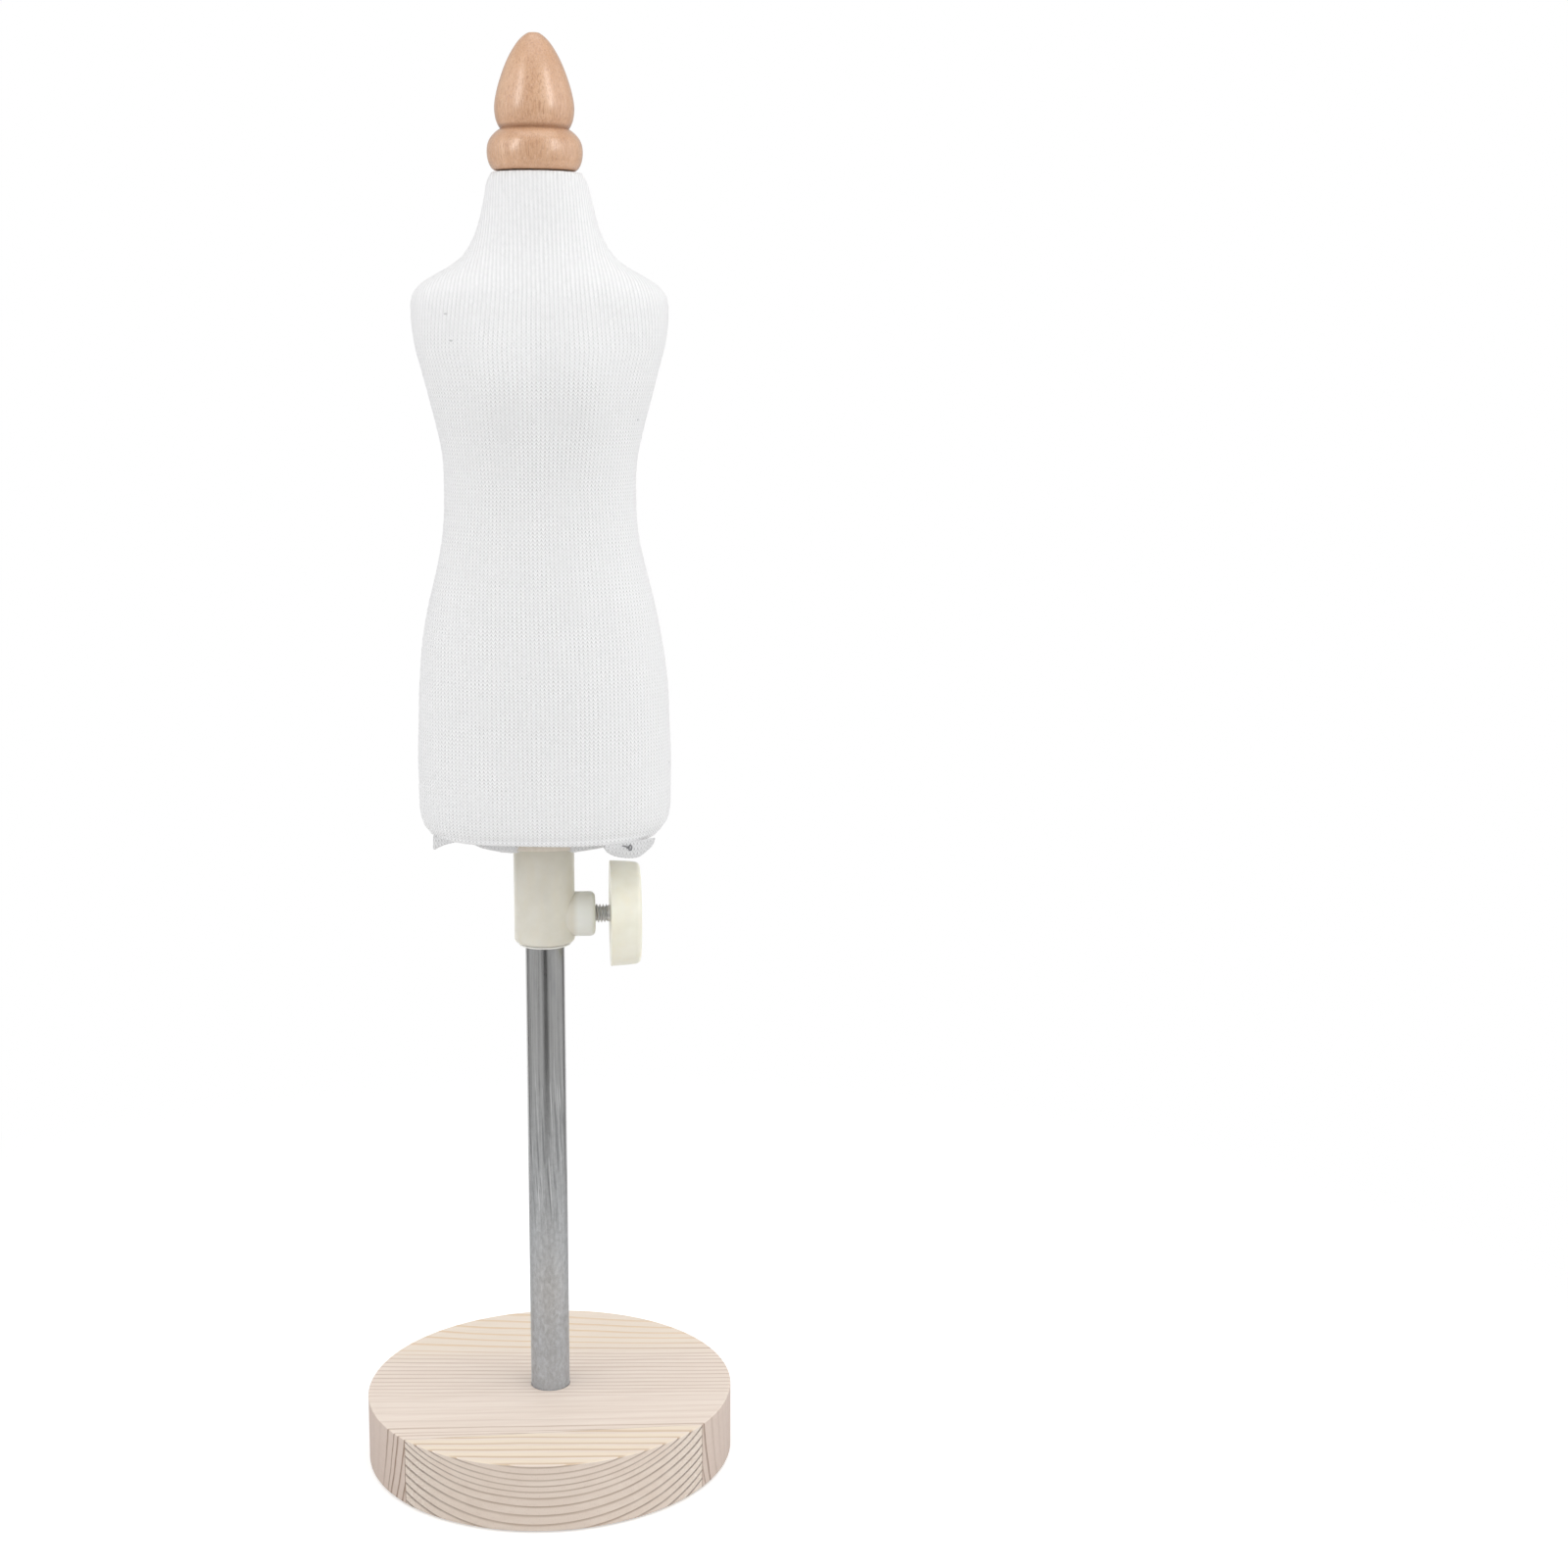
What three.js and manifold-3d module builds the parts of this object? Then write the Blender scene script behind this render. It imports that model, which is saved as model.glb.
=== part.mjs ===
// Small tabletop dress form: a knit-covered foam torso with a turned beech finial,
// clamped by a thumb screw to a steel pole on a round pine base.
// Millimetres, +Z up, origin at the centre of the base's underside.
// The form faces -Y and the clamp knob points towards +X.

import * as THREE from 'three';
import { mergeVertices } from 'three/addons/utils/BufferGeometryUtils.js';
import Module from 'manifold-3d';

// ---------------------------------------------------------------- shared dimensions
// Radii end in _R, heights in _Z; _Z0 is a lower end and _Z1 an upper one.
const POLE_R = 6.35;
const POLE_WALL = 1.5;
const POLE_Z0 = 11.3;
const POLE_Z1 = 268;

const COLLAR_R = 9.7;
const CLAMP_Z = 182.7;           // axis of the clamp screw
const PLATE_Z0 = 207.6;
const PLATE_Z1 = 211.7;

const LINER_R = 8.9;             // outside of the bore liner and the neck plug
const LINER_Z1 = 393.4;
const CORE_Z0 = 212;
const CORE_Z1 = 412.9;
const NECK_Z = 414.1;            // top of the knit cover
const DOWEL_HOLE_R = 2.8;

// ---------------------------------------------------------------- solids and meshes
const wasm = await Module();
wasm.setup();

const { degToRad } = THREE.MathUtils;

function volume(geometry) {
  const { position } = geometry.attributes;
  const { index } = geometry;
  const [a, b, c] = [new THREE.Vector3(), new THREE.Vector3(), new THREE.Vector3()];
  let total = 0;
  for (let i = 0; i < index.count; i += 3) {
    a.fromBufferAttribute(position, index.getX(i));
    b.fromBufferAttribute(position, index.getX(i + 1));
    c.fromBufferAttribute(position, index.getX(i + 2));
    total += a.dot(b.cross(c)) / 6;
  }
  return total;
}

// welds a closed surface, drops collapsed triangles and turns the faces outwards
function weld(geometry) {
  const bare = geometry.clone();
  bare.deleteAttribute('normal');
  bare.deleteAttribute('uv');
  const welded = mergeVertices(bare, 1e-4);
  const { index } = welded;
  const kept = [];
  for (let i = 0; i < index.count; i += 3) {
    const [a, b, c] = [index.getX(i), index.getX(i + 1), index.getX(i + 2)];
    if (a !== b && b !== c && a !== c) kept.push(a, b, c);
  }
  welded.setIndex(kept);
  if (volume(welded) < 0) {
    for (let i = 0; i < kept.length; i += 3) {
      [kept[i + 1], kept[i + 2]] = [kept[i + 2], kept[i + 1]];
    }
    welded.setIndex(kept);
  }
  return welded;
}

function toSolid(geometry) {
  const welded = weld(geometry);
  return new wasm.Manifold(new wasm.Mesh({
    numProp: 3,
    vertProperties: new Float32Array(welded.attributes.position.array),
    triVerts: new Uint32Array(welded.index.array),
  }));
}

function toGeometry(solid) {
  const mesh = solid.getMesh();
  const geometry = new THREE.BufferGeometry();
  const positions = new Float32Array(mesh.vertProperties);
  geometry.setAttribute('position', new THREE.BufferAttribute(positions, 3));
  geometry.setIndex(new THREE.BufferAttribute(new Uint32Array(mesh.triVerts), 1));
  return geometry;
}

function fuse(...geometries) {
  return geometries.map(toSolid).reduce((sum, solid) => sum.add(solid));
}

function carve(solid, cutters) {
  return cutters.reduce((rest, cutter) => rest.subtract(toSolid(cutter)), solid);
}

// ---------------------------------------------------------------- shapes
// solid of revolution about Z from [radius, height] points; a ring profile closes on itself
function turned(profile, segments, ring = false) {
  const points = profile.map(([radius, z]) => new THREE.Vector2(radius, z));
  if (ring) points.push(points[0].clone());
  return weld(new THREE.LatheGeometry(points, segments).rotateX(Math.PI / 2));
}

function rod(radius, z0, z1, segments) {
  return turned([[0, z0], [radius, z0], [radius, z1], [0, z1]], segments);
}

function tube(innerR, outerR, z0, z1, segments) {
  return turned([[innerR, z0], [outerR, z0], [outerR, z1], [innerR, z1]], segments, true);
}

// tips a shape built along Z over to lie along +X at height z
function alongX(geometry, z = 0) {
  return geometry.rotateY(Math.PI / 2).translate(0, 0, z);
}

function box(x0, x1, y0, y1, z0, z1) {
  return new THREE.BoxGeometry(x1 - x0, y1 - y0, z1 - z0)
    .translate((x0 + x1) / 2, (y0 + y1) / 2, (z0 + z1) / 2);
}

function fromTriangles(positions, indices) {
  const geometry = new THREE.BufferGeometry();
  geometry.setAttribute('position', new THREE.Float32BufferAttribute(positions, 3));
  geometry.setIndex(indices);
  return geometry;
}

// closed skin through a loop of rings, each ring an array of [x, y, z]
function ringLoop(rings) {
  const count = rings[0].length;
  const indices = [];
  rings.forEach((ring, k) => {
    const nextK = (k + 1) % rings.length;
    for (let j = 0; j < count; j++) {
      const nextJ = (j + 1) % count;
      const a = k * count + j;
      const b = k * count + nextJ;
      const c = nextK * count + nextJ;
      const d = nextK * count + j;
      // the diagonal runs the same way down a skin and up the one inside it
      if (ring[j][2] >= rings[nextK][j][2]) indices.push(a, b, c, a, c, d);
      else indices.push(a, b, d, b, c, d);
    }
  });
  return weld(fromTriangles(rings.flat(2), indices));
}

// outline in XZ given thickness in Y, from y = -thickness to y = 0
function upright(shape, thickness, curveSegments = 12) {
  const options = { depth: thickness, bevelEnabled: false, curveSegments };
  return weld(new THREE.ExtrudeGeometry(shape, options).rotateX(Math.PI / 2));
}

// square-wire staple: crown along X, legs upwards
function wireStaple(halfSpan, wire, height) {
  const inside = halfSpan - wire;
  const outline = [
    [-halfSpan, 0], [halfSpan, 0], [halfSpan, height], [inside, height],
    [inside, wire], [-inside, wire], [-inside, height], [-halfSpan, height],
  ];
  return upright(new THREE.Shape(outline.map(([x, z]) => new THREE.Vector2(x, z))), wire);
}

// ---------------------------------------------------------------- materials
const FINISHES = {
  pine: { color: 0xe6d3b8, roughness: 0.65, metalness: 0 },
  beech: { color: 0xd8a57f, roughness: 0.35, metalness: 0 },
  steelTube: { color: 0x8f9294, roughness: 0.3, metalness: 1 },
  zinc: { color: 0xb4b6b8, roughness: 0.35, metalness: 1 },
  ivory: { color: 0xe9e6d6, roughness: 0.4, metalness: 0 },
  nylon: { color: 0xf4f3ee, roughness: 0.45, metalness: 0 },
  brass: { color: 0xc9a24c, roughness: 0.35, metalness: 1 },
  board: { color: 0xd9c2a6, roughness: 0.8, metalness: 0 },
  card: { color: 0xb79b78, roughness: 0.9, metalness: 0 },
  foam: { color: 0xf2efe6, roughness: 0.95, metalness: 0 },
  knit: { color: 0xf7f7f7, roughness: 0.95, metalness: 0 },
  cap: { color: 0x2b2b2c, roughness: 0.5, metalness: 0 },
};

const form = new THREE.Group();

function piece(name, geometry, finish) {
  const mesh = new THREE.Mesh(geometry, new THREE.MeshStandardMaterial(FINISHES[finish]));
  mesh.name = name;
  form.add(mesh);
  return mesh;
}

// ---------------------------------------------------------------- stand
// pine disc with a blind socket for the pole above and a counterbore for the bolt below
function baseDisc() {
  const radius = 60;
  const thickness = 22;
  const chamfer = 0.7;
  const socketR = 6.65;
  const socketFloor = 11;
  const counterboreR = 10.5;
  const counterboreTop = 8;
  const boltHoleR = 3.4;
  return turned([
    [counterboreR, 0], [radius - chamfer, 0], [radius, chamfer],
    [radius, thickness - chamfer], [radius - chamfer, thickness],
    [socketR, thickness], [socketR, socketFloor],
    [boltHoleR, socketFloor], [boltHoleR, counterboreTop], [counterboreR, counterboreTop],
  ], 64, true);
}

function baseBolt() {
  const shank = turned([[0, 5], [2.95, 5], [2.95, 27.2], [2.3, 28], [0, 28]], 20);
  const hexHead = new THREE.CylinderGeometry(5.77, 5.77, 4, 6)
    .rotateX(Math.PI / 2).translate(0, 0, 4.4);
  return toGeometry(fuse(shank, hexHead));
}

function poleEndCap() {
  return turned([
    [0, 260], [4.5, 260], [4.5, POLE_Z1 + 0.3], [6.2, POLE_Z1 + 0.3],
    [6.2, POLE_Z1 + 1.5], [5.7, POLE_Z1 + 2], [0, POLE_Z1 + 2],
  ], 24);
}

piece('base_disc', baseDisc(), 'pine');
piece('pole', tube(POLE_R - POLE_WALL, POLE_R, POLE_Z0, POLE_Z1, 40), 'steelTube');
piece('pole_foot_plug', tube(3.3, 4.55, POLE_Z0 + 0.1, 30, 24), 'zinc');
piece('base_bolt', baseBolt(), 'zinc');
piece('base_washer', tube(3.3, 9, 6.7, 7.7, 24), 'zinc');
piece('pole_end_cap', poleEndCap(), 'cap');

// ---------------------------------------------------------------- guide bush and collar
// thin sleeve round the pole with a lip at its foot, split at the back
function guideBush() {
  const innerR = 6.6;
  const outerR = 7.6;
  const lipR = 8.4;
  const lipHeight = 0.6;
  const z0 = 173.1;
  const z1 = 205;
  const sleeve = turned([
    [innerR, z0], [lipR, z0], [lipR, z0 + lipHeight], [outerR, z0 + lipHeight],
    [outerR, z1], [innerR, z1],
  ], 40, true);
  return toGeometry(carve(toSolid(sleeve), [box(-0.6, 0.6, 4, 10, z0 - 1, z1 + 1)]));
}

const FLANGE_SCREW_CIRCLE_R = 12.9;
const FLANGE_SCREW_SPOTS = [90, 210, 330].map((degrees) => {
  const angle = degToRad(degrees);
  return [FLANGE_SCREW_CIRCLE_R * Math.cos(angle), FLANGE_SCREW_CIRCLE_R * Math.sin(angle)];
});

function flangeScrewHoles(z0, z1) {
  return FLANGE_SCREW_SPOTS.map(([x, y]) => rod(1.5, z0, z1, 10).translate(x, y, 0));
}

// tube with a flange on top and a side boss towards +X for the clamp screw
function collar() {
  const z0 = 174;
  const boreR = 7.9;
  const flangeR = 16;
  const flangeZ0 = 212;
  const flangeZ1 = 214.2;
  const bossR = 7.2;
  const bossX = 16.2;
  const body = turned([
    [0, z0], [8.8, z0], [9.4, z0 + 0.25], [COLLAR_R, z0 + 0.9],
    [COLLAR_R, flangeZ0], [flangeR, flangeZ0], [flangeR, flangeZ1], [0, flangeZ1],
  ], 40);
  const boss = turned([
    [0, 3], [bossR, 3], [bossR, bossX - 0.7], [bossR - 0.25, bossX - 0.2],
    [bossR - 0.8, bossX], [0, bossX],
  ], 32);
  const clampHole = turned([[0, 4], [3.4, 4], [3.4, 12.6], [4.6, 12.6], [4.6, 18], [0, 18]], 20);
  return toGeometry(carve(fuse(body, alongX(boss, CLAMP_Z)), [
    rod(boreR, 170, 218, 40),
    alongX(clampHole, CLAMP_Z),
    ...flangeScrewHoles(210, 216),
  ]));
}

piece('guide_bush', guideBush(), 'nylon');
piece('collar', collar(), 'ivory');
piece('thread_insert', alongX(tube(3.3, 4.3, 0, 3.3, 20), 0).translate(12.8, 0, CLAMP_Z), 'brass');

// ---------------------------------------------------------------- bottom plate and fasteners
const STAPLE_HALF_SPAN = 4;
const STAPLE_WIRE = 0.5;
const STAPLE_HEIGHT = 4.4;
const STAPLE_Z = 206.5;          // underside of the crown
const STAPLE_OVAL = { halfWidth: 18.3, halfDepth: 15.8 };
const STAPLES = [25, 90, 155, 200, 228, 318].map((degrees) => {
  const angle = degToRad(degrees);
  return {
    x: STAPLE_OVAL.halfWidth * Math.cos(angle),
    y: STAPLE_OVAL.halfDepth * Math.sin(angle),
    turn: angle + Math.PI / 2,
  };
});

// slots for both legs of one staple
function stapleSlots({ x, y, turn }) {
  const legX = STAPLE_HALF_SPAN - STAPLE_WIRE / 2;
  const half = 0.55;
  return [-legX, legX].map((middle) => (
    box(middle - half, middle + half, -half, half, PLATE_Z0 - 1, STAPLE_Z + STAPLE_HEIGHT)
      .rotateZ(turn).translate(x, y, 0)));
}

// oval plate round the collar
function bottomPlate() {
  const halfWidth = 22.5;
  const halfDepth = 20;
  const oval = rod(1, PLATE_Z0, PLATE_Z1, 48).scale(halfWidth, halfDepth, 1);
  return toGeometry(carve(toSolid(oval), [
    rod(COLLAR_R + 0.3, 200, 220, 40),
    ...flangeScrewHoles(208, 214),
    ...STAPLES.flatMap(stapleSlots),
  ]));
}

function flangeScrew() {
  return turned([
    [0, 208.3], [1.1, 209.6], [1.1, 214.5], [2.4, 214.5], [2.4, 215.2], [1.7, 215.9], [0, 215.9],
  ], 12);
}

STAPLES.forEach(({ x, y, turn }, k) => {
  const geometry = wireStaple(STAPLE_HALF_SPAN, STAPLE_WIRE, STAPLE_HEIGHT)
    .translate(0, STAPLE_WIRE / 2, 0);
  const staple = piece(`cover_staple_${k + 1}`, geometry, 'zinc');
  staple.position.set(x, y, STAPLE_Z);
  staple.rotation.z = turn;
});
piece('bottom_plate', bottomPlate(), 'board');
FLANGE_SCREW_SPOTS.forEach(([x, y], k) => {
  piece(`flange_screw_${k + 1}`, flangeScrew(), 'zinc').position.set(x, y, 0);
});

// ---------------------------------------------------------------- torso outline
// height, half width, front depth, back depth, roundness exponent
const TORSO = [
  [207.0, 38.6, 26.0, 28.0, 2.25], [214.0, 39.4, 26.6, 28.8, 2.25], [222.0, 39.8, 27.0, 29.4, 2.25],
  [232.0, 39.8, 26.8, 29.8, 2.2], [245.0, 39.3, 26.3, 29.6, 2.2], [258.0, 38.7, 25.7, 28.6, 2.2],
  [270.0, 37.4, 24.9, 26.8, 2.15], [282.0, 35.3, 24.0, 24.6, 2.15], [292.0, 32.9, 23.0, 22.4, 2.1],
  [302.0, 30.8, 22.0, 20.6, 2.1], [312.0, 29.7, 21.5, 19.6, 2.1], [320.0, 29.6, 21.6, 19.6, 2.1],
  [328.0, 30.0, 22.2, 20.4, 2.1], [337.0, 31.8, 23.2, 21.8, 2.1], [346.0, 34.1, 24.2, 23.4, 2.15],
  [355.0, 36.3, 24.8, 24.8, 2.2], [363.0, 38.2, 24.6, 25.4, 2.25], [369.0, 39.1, 23.8, 25.2, 2.3],
  [374.5, 39.3, 22.8, 24.6, 2.3], [377.3, 38.7, 22.0, 24.0, 2.3], [379.6, 37.3, 21.3, 23.3, 2.25],
  [382.0, 34.4, 20.4, 22.3, 2.15], [384.3, 30.4, 19.5, 21.2, 2.05], [386.7, 26.3, 18.6, 20.0, 2.0],
  [389.0, 23.4, 17.8, 18.9, 2.0], [391.4, 21.5, 17.1, 18.0, 2.0], [394.0, 20.0, 16.5, 17.2, 2.0],
  [398.0, 18.3, 15.8, 16.3, 2.0], [403.0, 16.9, 15.1, 15.5, 2.0], [408.0, 15.8, 14.4, 14.7, 2.0],
  [412.0, 14.7, 13.7, 13.9, 2.0], [414.1, 13.6, 12.9, 13.1, 2.0],
];
const RING_POINTS = 28;

// ring heights shared by core and cover, from the neck down
const LEVELS = [
  406, 399, 394, 390.5, 387.5, 385.2, 383, 380.6, 377.8, 373, 366, 358, 350, 341,
  330, 318, 306, 294, 281, 267, 250, 233, 216.5,
];
const SECTION_LIFT = 0.7;        // inset rings at a level take their section this much higher

// shape-preserving cubic through one column of a table whose first column rises
function column(table, col) {
  const xs = table.map((row) => row[0]);
  const ys = table.map((row) => row[col]);
  const last = xs.length - 1;
  const slopes = xs.slice(1).map((x, i) => (ys[i + 1] - ys[i]) / (x - xs[i]));
  const tangents = xs.map((_, i) => {
    if (i === 0) return slopes[0];
    if (i === last) return slopes[last - 1];
    const product = slopes[i - 1] * slopes[i];
    return product <= 0 ? 0 : (2 * product) / (slopes[i - 1] + slopes[i]);
  });
  return (at) => {
    const x = Math.min(Math.max(at, xs[0]), xs[last]);
    let i = 0;
    while (i < last - 1 && x > xs[i + 1]) i++;
    const step = xs[i + 1] - xs[i];
    const u = (x - xs[i]) / step;
    return (1 + 2 * u) * (1 - u) ** 2 * ys[i] + u * (1 - u) ** 2 * step * tangents[i]
      + u * u * (3 - 2 * u) * ys[i + 1] + u * u * (u - 1) * step * tangents[i + 1];
  };
}

const [halfWidthAt, frontDepthAt, backDepthAt, roundnessAt] = [1, 2, 3, 4]
  .map((col) => column(TORSO, col));

const bell = (value, centre, width) => Math.exp(-(((value - centre) / width) ** 2));

// depth added to the plain section: bust and belly in front, blades and seat behind
function relief(x, z, front) {
  const side = Math.abs(x);
  if (front) {
    return 4.6 * bell(side, 14.2, 9) * bell(z, 350, 13) + 1.2 * bell(x, 0, 18) * bell(z, 262, 26);
  }
  return 1.8 * bell(side, 15, 9) * bell(z, 362, 15) + 2.2 * bell(side, 15, 12) * bell(z, 238, 20);
}

function ringOf(pointAt) {
  return Array.from({ length: RING_POINTS }, (_, j) => {
    const angle = (j / RING_POINTS) * 2 * Math.PI;
    return pointAt(Math.cos(angle), Math.sin(angle));
  });
}

// the torso's section at sectionZ, drawn in by inset and placed at height z
function torsoRing(sectionZ, inset = 0, z = sectionZ) {
  const halfWidth = halfWidthAt(sectionZ);
  const frontDepth = frontDepthAt(sectionZ);
  const backDepth = backDepthAt(sectionZ);
  const power = 2 / roundnessAt(sectionZ);
  return ringOf((cos, sin) => {
    const front = sin < 0;
    const x = halfWidth * Math.sign(cos) * Math.abs(cos) ** power;
    const depth = (front ? frontDepth : backDepth) + relief(x, sectionZ, front) * Math.abs(sin);
    const y = Math.sign(sin) * Math.abs(sin) ** power * depth;
    const radius = Math.hypot(x, y);
    const scale = (radius - inset) / radius;
    return [x * scale, y * scale, z];
  });
}

function circleRing(radius, z) {
  return ringOf((cos, sin) => [radius * cos, radius * sin, z]);
}

// ---------------------------------------------------------------- foam torso and its bore
// foam with a through bore, widened at the bottom
function foamCore() {
  const inset = 1.5;
  const boreR = 9.2;
  const recessR = 17;
  const recessTop = 217;
  return ringLoop([
    torsoRing(CORE_Z1 + 0.4, inset, CORE_Z1),
    ...LEVELS.map((z) => torsoRing(z + SECTION_LIFT, inset, z)),
    torsoRing(214.9, 2),
    torsoRing(CORE_Z0, 5.6),
    circleRing(recessR, CORE_Z0),
    circleRing(recessR, recessTop),
    circleRing(boreR, recessTop),
    circleRing(boreR, CORE_Z1),
  ]);
}

function finialDowel() {
  return turned([[0, 397], [2, 397], [2.5, 397.6], [2.5, 435.4], [2, 436], [0, 436]], 16);
}

piece('foam_core', foamCore(), 'foam');
piece('bore_liner', tube(7.5, LINER_R, 217.4, LINER_Z1, 32), 'card');
piece('neck_plug', tube(DOWEL_HOLE_R, LINER_R, LINER_Z1 + 0.6, CORE_Z1, 32), 'board');
piece('finial_dowel', finialDowel(), 'beech');

// ---------------------------------------------------------------- knit cover
// outer skin from the neck down, round the hem, and back up inside
function knitCover() {
  const neckHoleR = 10.2;
  return ringLoop([
    torsoRing(NECK_Z, 0.5),
    circleRing(neckHoleR, NECK_Z),
    circleRing(neckHoleR, NECK_Z - 0.8),
    torsoRing(NECK_Z - 0.6),
    ...LEVELS.map((z) => torsoRing(z)),
    torsoRing(213.6, 0.5),
    torsoRing(211.6, 2),
    torsoRing(210.3, 4.2, 210.1),
    torsoRing(210.3, 5, 210.1),
    torsoRing(211, 4.7, 211.1),
    torsoRing(213, 2.7),
    ...[...LEVELS].reverse().map((z) => torsoRing(z + SECTION_LIFT, 0.95, z)),
    torsoRing(CORE_Z1 + 0.4, 1),
  ]);
}

function hemTab() {
  const shape = new THREE.Shape();
  shape.moveTo(-8.6, 0);
  shape.quadraticCurveTo(-5.6, -4.1, 0, -4.4);
  shape.quadraticCurveTo(5.6, -4.1, 8.6, 0);
  shape.closePath();
  return upright(shape, 0.9, 6);
}

piece('knit_cover', knitCover(), 'knit');

// loose tab of cover cloth under the hem, with the wire pin that holds it
const TAB_TURN = degToRad(30);
const tab = piece('hem_tab', hemTab(), 'knit');
tab.position.set(26.6, -17.2, 209.6);
tab.rotation.z = TAB_TURN;

const tabPin = piece('tab_pin', wireStaple(0.9, 0.4, 1.6), 'zinc');
tabPin.position.set(25.9, -19.0, 207.5);
tabPin.rotation.z = TAB_TURN;

// ---------------------------------------------------------------- finial
// one turned piece with a blind dowel hole; points are [radius, height]
function finial() {
  const z0 = 414.5;
  const holeTop = 437;
  return turned([
    [0, holeTop], [DOWEL_HOLE_R, holeTop], [DOWEL_HOLE_R, z0], [11.6, z0],
    [12.7, 415.1], [13.6, 416.2], [14.2, 417.6], [14.5, 419.4], [14.5, 421.2], [14.1, 423],
    [13.1, 424.8], [11.6, 426.2], [10.4, 427.1], [11.1, 428.2], [11.8, 430], [12.1, 432.4],
    [12, 434.6], [11.3, 437.6], [10.3, 441], [9, 444.4], [7.6, 447.9], [5.7, 451.2],
    [3.8, 453.7], [2.2, 454.8], [0, 455],
  ], 28);
}

piece('finial', finial(), 'beech');

// ---------------------------------------------------------------- clamp pad and thumb screw
function clampPad() {
  return alongX(turned([[0, 7.9], [3, 7.9], [3, 9.2], [2.7, 9.5], [0, 9.5]], 20), CLAMP_Z);
}

// helical thread along +X from x0 to x1; rows follow the helix and the ends are trimmed flat
function threaded(x0, x1) {
  const pitch = 1;
  const rootR = 2.4;
  const crestR = 3;
  const segments = 16;
  // one turn's rows: offset along the pitch, radius
  const profile = [[0, rootR], [0.36, crestR], [0.6, crestR]];
  const perTurn = profile.length;
  const turns = Math.ceil((x1 - x0) / pitch) + 3;
  const rows = turns * perTurn;
  const startX = x0 - 2 * pitch;

  const positions = [];
  for (let k = 0; k <= rows + perTurn; k++) {
    const [offset, radius] = profile[k % perTurn];
    for (let j = 0; j < segments; j++) {
      const angle = (j / segments) * 2 * Math.PI;
      const x = startX + pitch * (Math.floor(k / perTurn) + offset + j / segments);
      positions.push(x, radius * Math.cos(angle), radius * Math.sin(angle));
    }
  }
  const startCentre = positions.length / 3;
  const endCentre = startCentre + 1;
  positions.push(startX + 0.5 * pitch, 0, 0, startX + pitch * (turns + 0.5), 0, 0);

  // past the last segment a row carries on as the row one turn further
  const at = (k, j) => (j < segments ? k * segments + j : (k + perTurn) * segments + j - segments);
  const indices = [];
  for (let k = 0; k < rows; k++) {
    for (let j = 0; j < segments; j++) {
      indices.push(at(k, j), at(k + 1, j), at(k + 1, j + 1));
      indices.push(at(k, j), at(k + 1, j + 1), at(k, j + 1));
    }
  }
  for (let j = 0; j < segments; j++) {
    indices.push(startCentre, at(0, j), at(0, j + 1));
    indices.push(endCentre, at(rows, j + 1), at(rows, j));
  }
  for (let k = 0; k < perTurn; k++) {
    indices.push(startCentre, at(k + 1, 0), at(k, 0));
    indices.push(endCentre, at(rows + k, 0), at(rows + k + 1, 0));
  }
  return toSolid(fromTriangles(positions, indices))
    .intersect(toSolid(alongX(rod(5, x0, x1, 16))));
}

// plain tip, thread and plain shank, built on the X axis
function clampStud() {
  const tip = turned([[0, 9.8], [2.1, 9.8], [2.35, 10.1], [2.35, 12.9], [0, 12.9]], 16);
  const shank = rod(2.7, 20, 27, 16);
  return toGeometry(threaded(12.6, 20.3).add(toSolid(alongX(tip))).add(toSolid(alongX(shank))));
}

// round knob, sharp at the inner rim and rounded at the outer one, its bore closed by a plug
function clampKnob() {
  const x0 = 21;
  const x1 = 31.3;
  const radius = 17;
  const boreR = 3;
  const faceX = x1 - 0.8;        // sunken middle of the outer face
  const body = turned([
    [boreR, x0 + 7.2], [boreR, x0], [radius, x0],
    [radius - 0.35, x1 - 1.4], [radius - 0.8, x1 - 0.4], [radius - 1.7, x1],
    [11.5, x1], [10.4, faceX], [boreR, faceX],
  ], 48, true);
  const plug = rod(4, x0 + 6.6, faceX, 20);
  return toGeometry(fuse(alongX(body, CLAMP_Z), alongX(plug, CLAMP_Z)));
}

piece('clamp_pad', clampPad(), 'nylon');
piece('clamp_stud', clampStud(), 'zinc').position.z = CLAMP_Z;
piece('clamp_knob', clampKnob(), 'ivory');

export default form;
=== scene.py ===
"""Small tabletop dress form: a torso in white jersey on a steel pole and a round pine base.

The pole stands on the Z axis and the base rests on z = 0. The form faces -Y, and the clamp
knob is on the +X side. Shapes are given in millimetres; the studio is in metres.
"""
import math
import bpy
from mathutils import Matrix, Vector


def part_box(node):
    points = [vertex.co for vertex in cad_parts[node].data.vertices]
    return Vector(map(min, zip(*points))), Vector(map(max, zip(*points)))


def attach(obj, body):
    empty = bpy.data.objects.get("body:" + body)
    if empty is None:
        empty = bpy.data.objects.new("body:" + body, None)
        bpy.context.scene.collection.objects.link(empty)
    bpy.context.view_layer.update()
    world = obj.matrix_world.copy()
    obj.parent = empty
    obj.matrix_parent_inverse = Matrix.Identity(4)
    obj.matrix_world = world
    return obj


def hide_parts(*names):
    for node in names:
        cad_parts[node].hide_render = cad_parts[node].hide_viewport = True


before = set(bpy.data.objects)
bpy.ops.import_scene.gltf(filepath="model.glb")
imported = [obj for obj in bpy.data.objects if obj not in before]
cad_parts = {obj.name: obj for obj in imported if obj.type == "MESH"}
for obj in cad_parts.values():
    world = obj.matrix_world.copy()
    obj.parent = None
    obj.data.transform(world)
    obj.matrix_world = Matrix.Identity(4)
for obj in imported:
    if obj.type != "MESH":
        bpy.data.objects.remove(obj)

from types import SimpleNamespace

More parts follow.
